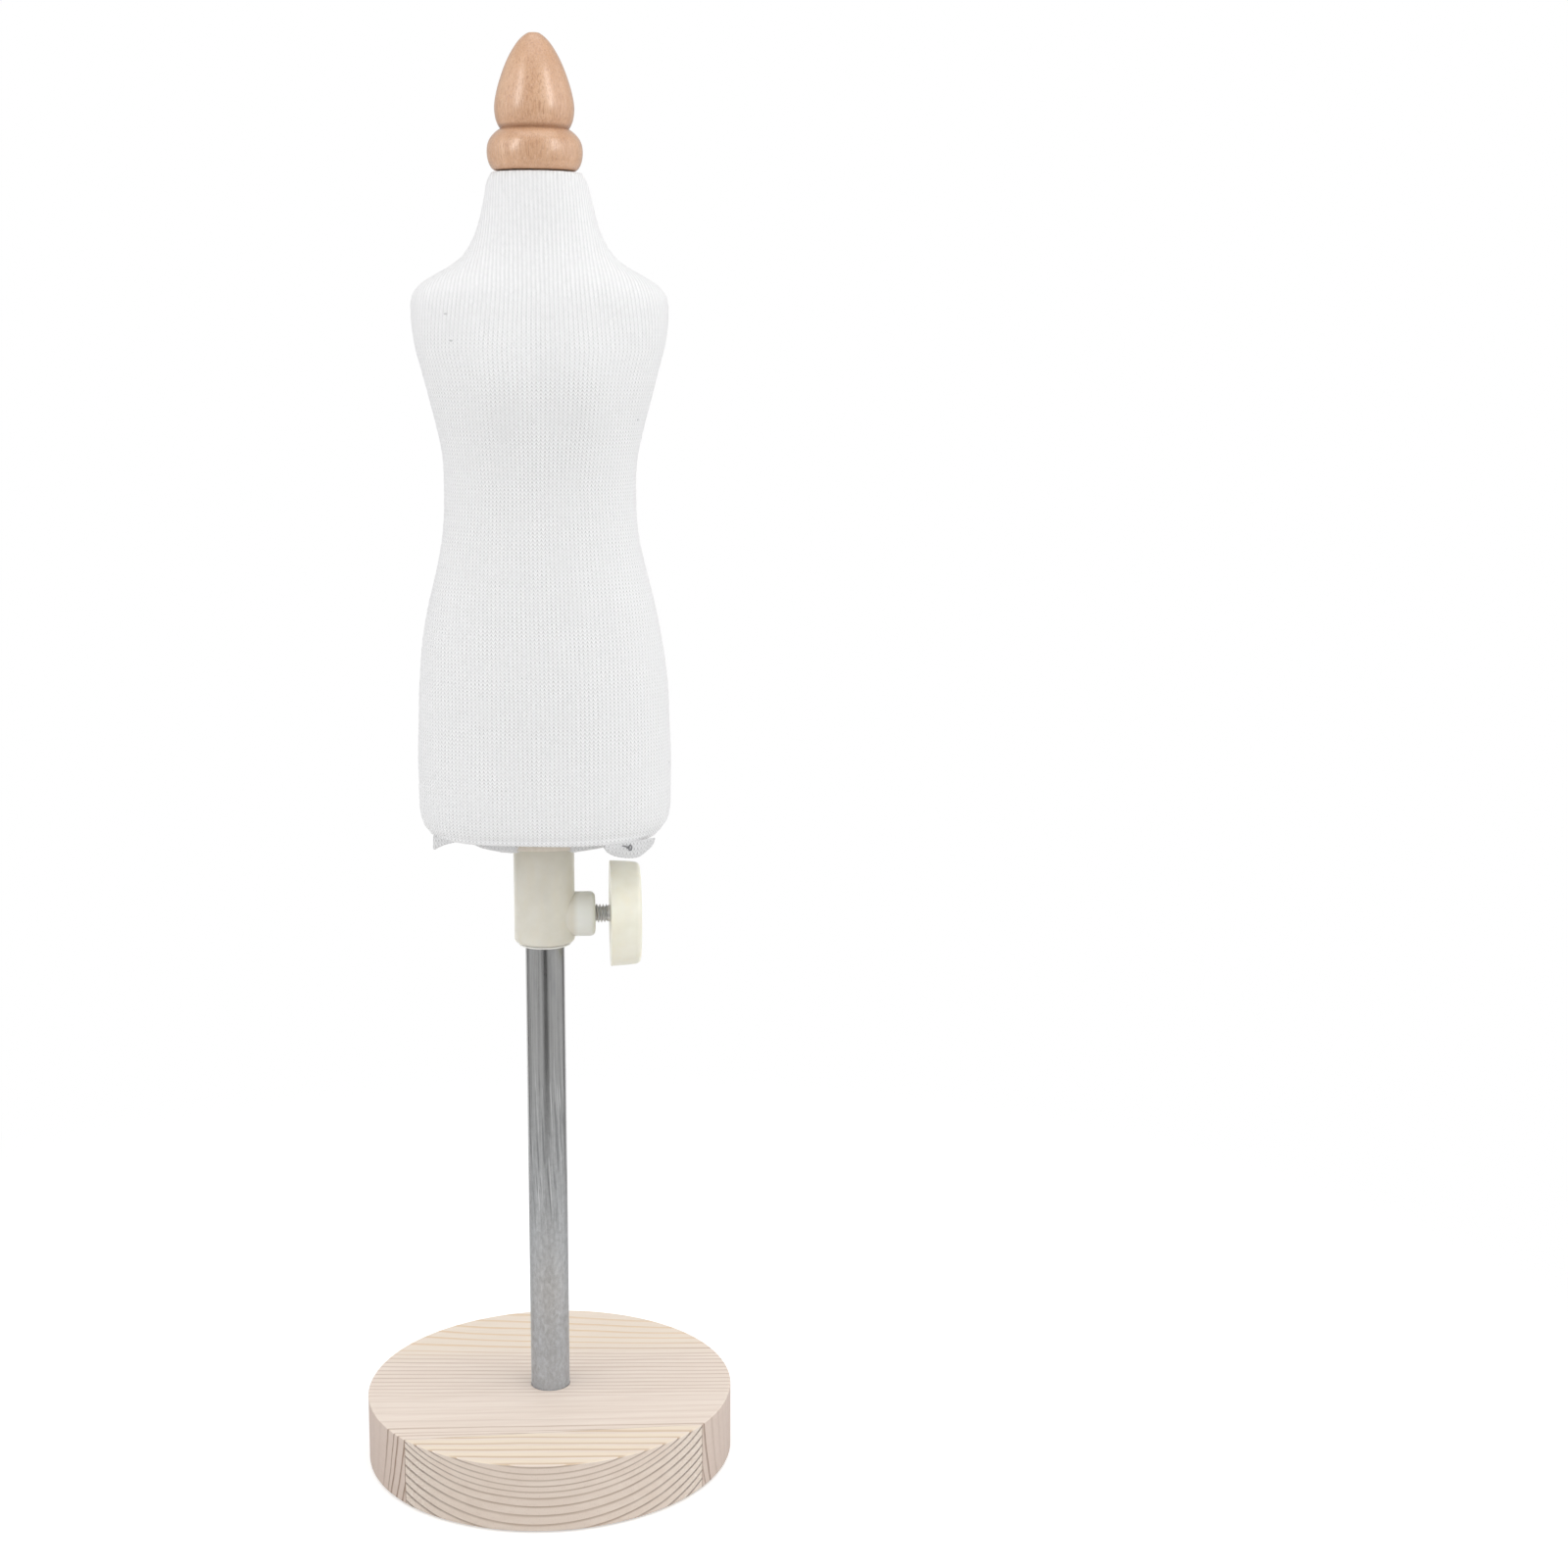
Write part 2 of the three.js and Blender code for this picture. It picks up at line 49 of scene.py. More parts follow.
import bpy
import numpy as np
from mathutils import Matrix, Vector

MM = 0.001
TURN = 2 * math.pi
scene = bpy.context.scene


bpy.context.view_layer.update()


# ------------------------------------------------------------------ driving dimensions
def node_box(name):
    """Lower and upper corner of a CAD piece, in millimetres."""
    low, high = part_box(name)
    return np.array(low) * 1000.0, np.array(high) * 1000.0


base_hi = node_box("base_disc")[1]
pole_lo, pole_hi = node_box("pole")
collar_lo, collar_hi = node_box("collar")
plate_lo, plate_hi = node_box("bottom_plate")
knob_lo, knob_hi = node_box("clamp_knob")
finial_lo, finial_hi = node_box("finial")
bush_lo, bush_hi = node_box("guide_bush")

BASE_R, BASE_T = float(base_hi[0]), float(base_hi[2])
POLE_R, POLE_Z0, POLE_Z1 = float(pole_hi[0]), float(pole_lo[2]), float(pole_hi[2])
CLAMP_Z = float(knob_lo[2] + knob_hi[2]) / 2          # height of the clamp screw's axis
PLATE_Z0 = float(plate_lo[2])                         # underside of the oval bottom plate
PLATE_A, PLATE_B = float(plate_hi[0]), float(plate_hi[1])    # its half width and half depth


# ------------------------------------------------------------------ mesh tools
def shade_smooth(mesh, sharp_deg):
    """Smooth shading, with edges sharper than sharp_deg kept crisp."""
    mesh.polygons.foreach_set("use_smooth", [True] * len(mesh.polygons))
    mesh.set_sharp_from_angle(angle=math.radians(sharp_deg))


def face_out(mesh):
    """Turns every face outwards on a closed mesh, by the sign of its volume."""
    coords = np.zeros(len(mesh.vertices) * 3)
    mesh.vertices.foreach_get("co", coords)
    mesh.calc_loop_triangles()
    corners = np.zeros(len(mesh.loop_triangles) * 3, int)
    mesh.loop_triangles.foreach_get("vertices", corners)
    tris = coords.reshape(-1, 3)[corners.reshape(-1, 3)]
    if np.einsum("ij,ij->i", tris[:, 0], np.cross(tris[:, 1], tris[:, 2])).sum() < 0:
        mesh.flip_normals()
    mesh.update()


def new_mesh(name, verts, faces, sharp_deg=None, uv=None):
    """Closed mesh from millimetre points; no sharp_deg leaves it flat; uv is per face corner."""
    mesh = bpy.data.meshes.new(name)
    points = [tuple(v) for v in (np.asarray(verts, float) * MM)]
    mesh.from_pydata(points, [], [tuple(int(i) for i in face) for face in faces])
    mesh.validate(clean_customdata=False)
    if sharp_deg is not None:
        shade_smooth(mesh, sharp_deg)
    if uv is not None:
        layer = mesh.uv_layers.new(name="UVMap")
        layer.data.foreach_set("uv", np.asarray(uv, np.float32).ravel())
    mesh.update()
    face_out(mesh)
    ob = bpy.data.objects.new(name, mesh)
    scene.collection.objects.link(ob)
    return ob


def grid_faces(rows, cols, base=0, flip=False):
    """Quads of a grid whose rows are closed rings."""
    faces = []
    for k in range(rows - 1):
        for j in range(cols):
            i = (j + 1) % cols
            low, high = base + k * cols, base + (k + 1) * cols
            quad = (low + j, low + i, high + i, high + j)
            faces.append(quad[::-1] if flip else quad)
    return faces


def lathe(name, profile, segments, axis="Z", origin=(0, 0, 0), sharp_deg=35):
    """Solid of revolution from (radius, height) points.

    The profile runs from one axis point to another; off the axis it closes on itself.
    """
    closed = profile[0][0] > 1e-6 or profile[-1][0] > 1e-6
    angles = np.linspace(0, TURN, segments, endpoint=False)
    cos, sin = np.cos(angles), np.sin(angles)
    verts, rings = [], []
    for radius, height in profile:
        start = len(verts)
        if radius < 1e-6:
            verts.append((0, 0, height))
        else:
            verts.extend(zip(radius * cos, radius * sin, [height] * segments))
        rings.append(range(start, len(verts)))
    pairs = list(zip(rings, rings[1:]))
    if closed:
        pairs.append((rings[-1], rings[0]))
    faces = []
    for low, high in pairs:
        for j in range(segments):
            i = (j + 1) % segments
            if len(low) == 1:
                faces.append((low[0], high[j], high[i]))
            elif len(high) == 1:
                faces.append((low[j], high[0], low[i]))
            else:
                faces.append((low[j], high[j], high[i], low[i]))
    points = np.array(verts, float)
    if axis == "X":
        points = points[:, [2, 0, 1]]
    return new_mesh(name, points + np.array(origin, float), faces, sharp_deg)


def rod(radius, start, end):
    """Profile of a plain cylinder."""
    return [(0, start), (radius, start), (radius, end), (0, end)]


def boolean(target, tool, operation):
    """Applies an exact boolean and removes the tool."""
    mod = target.modifiers.new("cut", "BOOLEAN")
    mod.operation, mod.solver, mod.object = operation, "EXACT", tool
    graph = bpy.context.evaluated_depsgraph_get()
    result = bpy.data.meshes.new_from_object(target.evaluated_get(graph))
    target.modifiers.clear()
    old = target.data
    target.data = result
    bpy.data.meshes.remove(old)
    bpy.data.objects.remove(tool)


def fillet(stations, steps):
    """Rounds the corners of an open outline of (radius, height, rounding); 0 stays sharp."""
    points = [np.array(s[:2], float) for s in stations]
    out = []
    for k, (corner, (*_, rounding)) in enumerate(zip(points, stations)):
        if rounding <= 0 or k in (0, len(points) - 1):
            out.append(tuple(corner))
            continue
        back, ahead = points[k - 1] - corner, points[k + 1] - corner
        back_len, ahead_len = np.linalg.norm(back), np.linalg.norm(ahead)
        back, ahead = back / back_len, ahead / ahead_len
        half = math.acos(max(-1, min(1, float(back @ ahead)))) / 2
        reach = min(rounding / math.tan(half), back_len * 0.49, ahead_len * 0.49)
        radius = reach * math.tan(half)
        inward = (back + ahead) / np.linalg.norm(back + ahead)
        centre = corner + inward * (radius / math.sin(half))
        first = corner + back * reach - centre
        last = corner + ahead * reach - centre
        start = math.atan2(first[1], first[0])
        sweep_angle = (math.atan2(last[1], last[0]) - start + math.pi) % TURN - math.pi
        for i in range(steps + 1):
            angle = start + sweep_angle * i / steps
            out.append((centre[0] + radius * math.cos(angle),
                        centre[1] + radius * math.sin(angle)))
    return out


def spline(points, count):
    """Catmull-Rom curve through 2-D or 3-D points, as count evenly spaced samples."""
    given = np.array(points, float)
    padded = np.vstack([2 * given[0] - given[1], given, 2 * given[-1] - given[-2]])
    curve = []
    for a, b, c, d in zip(padded, padded[1:], padded[2:], padded[3:]):
        for u in np.linspace(0, 1, 24, endpoint=False):
            curve.append(0.5 * ((2 * b) + (c - a) * u + (2 * a - 5 * b + 4 * c - d) * u * u
                                + (3 * b - a - 3 * c + d) * u ** 3))
    curve.append(given[-1])
    curve = np.array(curve)
    steps = np.linalg.norm(np.diff(curve, axis=0), axis=1)
    length = np.concatenate([[0], np.cumsum(steps)])
    even = np.linspace(0, length[-1], count)
    return np.stack([np.interp(even, length, column) for column in curve.T], 1)


def sweep(name, path, radius, sides):
    """Round wire with closed ends along a 3-D path."""
    tangents = np.gradient(path, axis=0)
    tangents /= np.linalg.norm(tangents, axis=1)[:, None]
    ref = np.array([0, 0, 1.0]) if abs(tangents[0, 2]) < 0.9 else np.array([1.0, 0, 0])
    normal = np.cross(tangents[0], ref)
    normal /= np.linalg.norm(normal)
    verts = []
    for point, tangent in zip(path, tangents):
        normal = normal - tangent * (normal @ tangent)
        normal /= np.linalg.norm(normal)
        binormal = np.cross(tangent, normal)
        for j in range(sides):
            angle = TURN * j / sides
            verts.append(point + radius * (math.cos(angle) * normal + math.sin(angle) * binormal))
    faces = grid_faces(len(path), sides)
    faces += [tuple(reversed(range(sides))), tuple(range(len(verts) - sides, len(verts)))]
    return new_mesh(name, verts, faces, sharp_deg=50)


def smoothstep(start, end, x):
    t = np.clip((np.asarray(x, float) - start) / (end - start), 0, 1)
    return t * t * (3 - 2 * t)


def wave_noise(points, seed, shortest=20.0, longest=60.0):
    """Smooth field of about -1..1 from seeded plane waves; wavelengths in millimetres."""
    waves = 14
    rng = np.random.default_rng(seed)
    out = np.zeros(points.shape[:-1])
    for _ in range(waves):
        direction = rng.normal(size=3)
        direction /= np.linalg.norm(direction)
        frequency = direction * 2 * math.pi / rng.uniform(shortest, longest)
        out += np.cos(points @ frequency + rng.uniform(0, TURN))
    return out / math.sqrt(waves)


def dress(ob, material, part, replaces=None):
    ob.data.materials.clear()
    ob.data.materials.append(material)
    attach(ob, part)
    if replaces:
        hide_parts(replaces)


# ------------------------------------------------------------------ shader tools
class Signal:
    """A shader output that takes arithmetic; every operation adds one node."""

    def __init__(self, graph, socket):
        self.graph, self.socket = graph, socket

    def __add__(self, other):
        return self.graph.math("ADD", self, other)

    def __sub__(self, other):
        return self.graph.math("SUBTRACT", self, other)

    def __rsub__(self, other):
        return self.graph.math("SUBTRACT", other, self)

    def __mul__(self, other):
        return self.graph.math("MULTIPLY", self, other)

    def __abs__(self):
        return self.graph.math("ABSOLUTE", self)

    def linear(self, gain, base):
        """self * gain + base"""
        return self.graph.math("MULTIPLY_ADD", self, gain, base)

    def lerp(self, at_zero, at_one):
        return self.graph.node("Mix", {0: self, 2: at_zero, 3: at_one}, data_type="FLOAT")

    def rise(self, start, end, kind="SMOOTHSTEP"):
        """Goes smoothly from 0 at start to 1 at end; end may be below start."""
        return self.graph.node("MapRange", {0: self, 1: start, 2: end}, interpolation_type=kind)

    def wave(self, frequency, kind="COSINE"):
        """Wave of 0..1."""
        return self.graph.math(kind, self * frequency).linear(gain=0.5, base=0.5)

    def curve(self, points, low, high):
        """Piecewise-linear map through (input, value) points with values in low..high."""
        start, end = points[0][0], points[-1][0]
        across = self.graph.math("DIVIDE", self - start, end - start, clamp=True)
        result = self.graph.node("FloatCurve", {"Value": across})
        mapping = result.socket.node.mapping
        knots = mapping.curves[0].points
        places = [((x - start) / (end - start), (y - low) / (high - low)) for x, y in points]
        knots[0].location, knots[1].location = places[0], places[-1]
        for place in places[1:-1]:
            knots.new(*place)
        for knot in knots:
            knot.handle_type = "VECTOR"
        mapping.update()
        return result.linear(gain=high - low, base=low)


SURFACE_INPUTS = {
    "color": "Base Color", "rough": "Roughness", "metal": "Metallic", "normal": "Normal",
    "coat": "Coat Weight", "coat_rough": "Coat Roughness", "coat_normal": "Coat Normal",
    "sheen": "Sheen Weight", "sheen_rough": "Sheen Roughness", "spec": "Specular IOR Level",
    "sss": "Subsurface Weight", "sss_radius": "Subsurface Radius",
    "sss_scale": "Subsurface Scale",
    "emission": "Emission Color", "emission_strength": "Emission Strength",
}


class Graph:
    """Builds the node tree of a material or world."""

    def __init__(self, owner):
        self.owner = owner
        owner.use_nodes = True
        self.tree = owner.node_tree
        self.tree.nodes.clear()

    def put(self, socket, value):
        if isinstance(value, Signal):
            self.tree.links.new(value.socket, socket)
        elif hasattr(value, "__len__") and len(value) < len(socket.default_value):
            socket.default_value = (*value, 1.0)
        else:
            socket.default_value = value

    def node(self, kind, inputs, out=0, **settings):
        made = self.tree.nodes.new("ShaderNode" + kind)
        for key, value in settings.items():
            setattr(made, key, value)
        for key, value in inputs.items():
            self.put(made.inputs[key], value)
        return Signal(self, made.outputs[out])

    def math(self, operation, *values, clamp=False):
        return self.node("Math", dict(enumerate(values)), operation=operation, use_clamp=clamp)

    def scale(self, vector, factor):
        return self.node("VectorMath", {0: vector, 3: factor}, operation="SCALE")

    def stretch(self, vector, factors):
        return self.node("VectorMath", {0: vector, 1: factors}, operation="MULTIPLY")

    def split(self, vector):
        x = self.node("SeparateXYZ", {0: vector})
        return [Signal(self, output) for output in x.socket.node.outputs]

    def join(self, x, y, z=0.0):
        return self.node("CombineXYZ", {0: x, 1: y, 2: z})

    def coord(self, which="Object"):
        return self.node("TexCoord", {}, which)

    def millimetres(self):
        return self.scale(self.coord(), 1000.0)

    def attribute(self, name):
        return self.node("Attribute", {}, "Fac", attribute_name=name)

    def camera_ray(self):
        return self.node("LightPath", {}, "Is Camera Ray")

    def scaled(self, place, scale):
        """A per-axis scale becomes a node of its own."""
        if hasattr(scale, "__len__"):
            return self.stretch(place, scale), 1.0
        return place, scale

    def noise(self, place, scale=1.0, detail=2.0, rough=0.5):
        place, scale = self.scaled(place, scale)
        return self.node("TexNoise", {"Vector": place, "Scale": scale, "Detail": detail,
                                      "Roughness": rough}, "Fac")

    def voronoi(self, place, scale, out="Distance"):
        place, scale = self.scaled(place, scale)
        return self.node("TexVoronoi", {"Vector": place, "Scale": scale}, out)

    def mix(self, under, over, amount):
        return self.node("Mix", {0: amount, 6: under, 7: over}, out=2, data_type="RGBA")

    def bump(self, height, strength, distance):
        return self.node("Bump", {"Strength": strength, "Distance": distance,
                                  "Height": height})

    def surface(self, **values):
        inputs = {SURFACE_INPUTS[key]: value for key, value in values.items()}
        return self.node("BsdfPrincipled", inputs)

    def output(self, kind, shader):
        out = self.tree.nodes.new("ShaderNodeOutput" + kind)
        self.tree.links.new(shader.socket, out.inputs[0])
        return self.owner

    def material(self, **values):
        return self.output("Material", self.surface(**values))


def new_graph(name):
    return Graph(bpy.data.materials.new(name))


# ------------------------------------------------------------------ materials
def mat_knit():
    """Plain white jersey with chevron stitches; the UVs count stitches across and courses up."""
    mat = new_graph("knit_white")
    across, up, _ = mat.split(mat.coord("UV"))
    place = mat.millimetres()
    z = mat.split(place)[2]
    # the yarn wanders a little from wale to wale and course to course
    wander_across = mat.noise(mat.join(across * 0.33, up * 0.055)) - 0.5
    wander_up = mat.noise(mat.join(across * 0.06, up * 0.25, 7.0)) - 0.5
    wale = across + wander_across * 0.42
    course = up + wander_up * 0.7
    off_wale = abs(mat.math("FRACT", wale) - 0.5)       # 0 mid wale, 0.5 between wales
    chevron = course + off_wale * 1.65
    loop = chevron.wave(TURN)
    rib = off_wale.wave(TURN)
    legs = (off_wale - 0.23).wave(2 * TURN)
    stitch = mat.join(mat.math("FLOOR", wale), mat.math("FLOOR", chevron), 3.0)
    cell = mat.noise(stitch, scale=3.71, detail=0)
    # the cloth is pulled lengthwise above the chest, so only the wales show there
    relaxed = z.rise(384.0, 346.0)
    chest = z.rise(384.0, 372.0) * z.rise(338.0, 352.0)
    body = rib * 0.28 + (loop * 0.62 + legs * 0.10)
    ribs = (chest * 0.5).lerp(rib * 0.82 + loop * 0.18, legs)
    pattern = relaxed.lerp(ribs, body)
    hole = off_wale.rise(0.33, 0.5) * loop.rise(0.45, 0.1) * cell.rise(0.48, 0.66) * relaxed
    fuzz = mat.noise(place, scale=4.2, detail=3, rough=0.6)
    height = pattern * 0.9 + (fuzz * 0.22 + cell * 0.14) - hole * 0.4
    # brightness: the stitch pattern in patches, then stitch, cloud, hole and seam variations
    patches = mat.noise(place, scale=0.11, detail=3, rough=0.6).rise(0.3, 0.7)
    contrast = relaxed.lerp(0.15, 0.27) * patches.linear(gain=0.75, base=0.6)
    shade = (pattern - 0.5).linear(gain=contrast, base=0.925)
    shade = shade * (cell - 0.5).linear(gain=0.075, base=1.0)
    shade = shade * (mat.noise(place, scale=0.03) - 0.5).linear(gain=0.03, base=1.0)
    shade = shade * hole.linear(gain=-0.25, base=1.0)
    shade = shade * mat.attribute("seam_mm").rise(0.55, 0.1).linear(gain=-0.16, base=1.0)
    shade = shade * (1.0 - mat.attribute("hem_shade"))
    # a few short lint fibres
    white, lint = (0.955, 0.955, 0.96), (0.25, 0.25, 0.26)
    speck = mat.voronoi(place, scale=(0.035, 0.035, 0.07)).rise(0.032, 0.012)
    colour = mat.mix(mat.scale(white, shade), lint, speck * 0.4)
    return mat.material(
        color=colour, rough=fuzz.linear(gain=0.1, base=0.84), sheen=0.2, sheen_rough=0.45,
        spec=0.2, normal=mat.bump(height, strength=0.55, distance=0.00032))


# pine board: (y, value) along the board's width, or (layer position, value) through its layers
LAYER_TURN = [(-60, 0.04), (-34, 0.045), (-12, 0.075), (16, 0.085), (38, 0.17), (60, 0.2)]
WARP_SIZE = [(-60, 1.0), (10, 1.4), (26, 3.5), (45, 15), (60, 18)]
MAIN_RINGS = [(-70, -10), (-41.5, 0), (-39.1, 1), (-36.3, 2), (-34.7, 3), (-31.3, 4), (-20.9, 6),
              (-8.5, 9), (-1, 12), (25.7, 21), (61, 27), (75, 29)]
MAIN_STRENGTH = [(-70, 1), (-31, 0.95), (-28, 0.22), (-10, 0.18), (-6, 0.74), (24, 0.78),
                 (30, 0.9), (75, 0.95)]
FRONT_RINGS = [(-12, -13), (-3.2, -10), (2.8, -8), (6.0, -7), (9.0, -6), (11.7, -5), (19.6, -1),
               (26, 2)]


def mat_pine():
    """Glued-up pine disc: growth layers solid through the board, so top and edge agree."""
    mat = new_graph("pine_board")
    place = mat.millimetres()
    x, y, z = mat.split(place)
    normal_x, _, normal_z = mat.split(mat.coord("Normal"))
    ink = SimpleNamespace(
        early=(0.845, 0.72, 0.625), early_pale=(0.90, 0.785, 0.69),
        early_front=(0.90, 0.775, 0.625), early_back=(0.90, 0.78, 0.64),
        late=(0.53, 0.375, 0.28), late_orange=(0.77, 0.545, 0.32), late_edge=(0.40, 0.285, 0.21),
        late_front_edge=(0.22, 0.16, 0.13), fibre=(0.60, 0.46, 0.37), edge=(0.50, 0.42, 0.35),
        end_grain=(0.57, 0.445, 0.40), torn=(0.20, 0.145, 0.115), flour=(0.93, 0.87, 0.80),
        stripe=(0.27, 0.17, 0.115), pore=(0.30, 0.21, 0.17), glue=(0.30, 0.20, 0.14))

    # the joint runs a little askew, and the layers turn slightly across the board
    joint_y = y - x * 0.0277 - 1.9
    turned_y = y + (x + 14.0) * y.curve(LAYER_TURN, low=0, high=0.3)
    front_y = y + x * 0.09
    # main board: steep layers, waves growing towards the back
    warp = mat.noise(place, scale=(0.011, 0.022, 0.02), detail=1.5, rough=0.45) - 0.5
    ripple = mat.noise(place, scale=(0.045, 0.12, 0.1)) - 0.5
    warp_size = y.curve(WARP_SIZE, low=0, high=20)
    depth = BASE_T - z
    lean = depth * depth.linear(gain=0.004, base=0.10)
    main_at = turned_y + (warp * warp_size + ripple * 0.8) - lean
    main_ring = main_at.curve(MAIN_RINGS, low=-10, high=30)
    main_strength = main_at.curve(MAIN_STRENGTH, low=0, high=1)
    # front stave: layers dip forwards
    front_warp = mat.noise(place, scale=(0.016, 0.05, 0.05)) - 0.5
    front_at = z - (front_y + 60.0) * 0.45 + front_warp * 1.4
    front_ring = front_at.curve(FRONT_RINGS, low=-13, high=3)
    front = joint_y.rise(-38.75, -38.85)

    # late wood darkens towards the end of each ring, some rings more than others
    ring = front.lerp(main_ring, front_ring)
    through = mat.math("FRACT", ring + 0.06)
    number = mat.math("FLOOR", ring + 0.06)
    vary = mat.noise(mat.join(number, front, 2.0), scale=5.37, detail=0)
    late = through.rise(vary.lerp(0.45, 0.72), 0.96, kind="SMOOTHERSTEP")
    late = late * through.rise(1.0, 0.965)
    side = abs(normal_z).rise(0.75, 0.35)
    late = late * front.lerp(main_strength, 0.95)
    late = late * vary.linear(gain=0.7, base=0.6)
    breaks = mat.noise(place, scale=(0.02, 0.3, 0.3)).linear(gain=0.9, base=0.55)
    late = mat.math("MULTIPLY", late, breaks, clamp=True)

    # fibres along X
    fibre = mat.noise(place, scale=(0.06, 2.6, 2.6), detail=4, rough=0.62)
    streak = mat.noise(place, scale=(0.02, 0.42, 0.42), detail=3, rough=0.6)
    orange = mat.math("MAXIMUM", y.rise(20, 32), front * 0.45)
    early_ink = mat.mix(ink.early, ink.early_pale, streak.rise(0.3, 0.72))
    early_ink = mat.mix(early_ink, ink.early_front,
                        front * (1.0 - side) * through.rise(0.05, 0.5))
    early_ink = mat.mix(early_ink, ink.early_back, y.rise(14, 34) * 0.55)
    late_ink = mat.mix(ink.late, ink.late_orange, orange)
    late_ink = mat.mix(late_ink, ink.late_edge, side)
    late_ink = mat.mix(late_ink, ink.late_front_edge, side * (front * abs(x).rise(14.0, 44.0)))
    colour = mat.mix(early_ink, late_ink, late * 0.86)
    colour = mat.mix(colour, ink.fibre, fibre.rise(0.48, 0.85) * 0.24)

    # edge: plainer, and greyer with painted shade that deepens towards -X; end grain pinkish at
    # the sides, torn and dark beside the joint
    colour = mat.mix(colour, ink.edge, side * x.rise(20, -50).linear(gain=0.14, base=0.24))
    end_grain = mat.math("POWER", abs(normal_x), 1.5) * side
    colour = mat.mix(colour, ink.end_grain, end_grain * (1.0 - front) * 0.5)
    tear = mat.noise(place, scale=(1.1, 1.1, 2.4), detail=3, rough=0.7)
    near_joint = side * (front * joint_y.rise(-54.0, -40.5))
    torn = near_joint * late.rise(0.12, 0.5) * tear.rise(0.36, 0.62)
    colour = mat.mix(colour, ink.torn, torn * 0.72)
    flour = near_joint * (late.rise(0.2, 0.0) * tear.rise(0.42, 0.7))
    colour = mat.mix(colour, ink.flour, flour * 0.7)
    stripes = side * (1.0 - front) * joint_y.rise(-27.0, -31.0)
    colour = mat.mix(colour, ink.stripe, stripes * (late * 0.75))
    pores = mat.voronoi(place, scale=(2.6, 2.6, 0.7)).rise(0.26, 0.08)
    colour = mat.mix(colour, ink.pore, pores * side * 0.2)
    glue = abs(joint_y + 38.8).rise(0.26, 0.05)
    colour = mat.mix(colour, ink.glue, glue * side.lerp(0.3, 0.75))
    height = fibre * 0.35 + late * 0.5 - (glue * 0.6 + torn * 0.7)
    return mat.material(
        color=colour, rough=late.linear(gain=-0.14, base=0.66), spec=0.35,
        normal=mat.bump(height, strength=0.4, distance=0.00014))


def mat_beech():
    """Turned beech under a satin lacquer: short dark flecks along the grain."""
    mat = new_graph("beech_lacquer")
    place = mat.millimetres()
    x, y, z = mat.split(place)
    ink = SimpleNamespace(
        base=(0.625, 0.34, 0.185), pale=(0.76, 0.465, 0.28), ring=(0.56, 0.30, 0.155),
        fibre=(0.86, 0.60, 0.43), fleck=(0.42, 0.19, 0.085), fine_fleck=(0.40, 0.19, 0.09),
        groove_shade=(0.20, 0.075, 0.03))
    groove_z = 427.1
    bend = (mat.noise(place, scale=(0.05, 0.05, 0.02)) - 0.5) * 5.0
    ring = ((y - x * 0.35) * 0.42 + bend).wave(2.6, kind="SINE")
    broad = mat.noise(place, scale=(0.18, 0.18, 0.03), detail=3)
    fibre = mat.noise(place, scale=(3.2, 3.2, 0.22), detail=4, rough=0.65)
    # flecks follow a slightly swaying grain
    sway = (mat.noise(place, scale=0.12) - 0.5) * 3.0
    swayed = mat.join(x + sway * 0.5, y + sway * 0.5, z)
    grain = mat.noise(swayed, scale=(2.5, 2.5, 0.2), detail=3, rough=0.55)
    fleck = grain.rise(0.50, 0.66)
    fine_fleck = mat.noise(swayed, scale=(4.6, 4.6, 0.6)).rise(0.56, 0.68)
    colour = mat.mix(ink.base, ink.pale, broad.rise(0.25, 0.75))
    colour = mat.mix(colour, ink.ring, ring * 0.24)
    colour = mat.mix(colour, ink.fibre, fibre.rise(0.42, 0.7) * 0.4)
    colour = mat.mix(colour, ink.fleck, fleck * 0.62)
    colour = mat.mix(colour, ink.fine_fleck, fine_fleck * 0.42)
    # painted shade darkens the groove
    colour = mat.mix(colour, ink.groove_shade, abs(z - groove_z).rise(1.3, 0.2) * 0.45)
    wood = mat.bump(fibre * 0.3 - fleck * 0.35, strength=0.3, distance=0.00008)
    lacquer = mat.bump(mat.noise(place, scale=0.9) + grain * 0.8, strength=0.22, distance=0.0001)
    return mat.material(
        color=colour, rough=fibre.linear(gain=0.12, base=0.42), normal=wood, coat=1.0,
        coat_rough=grain.linear(gain=0.26, base=0.14), coat_normal=lacquer, spec=0.45)


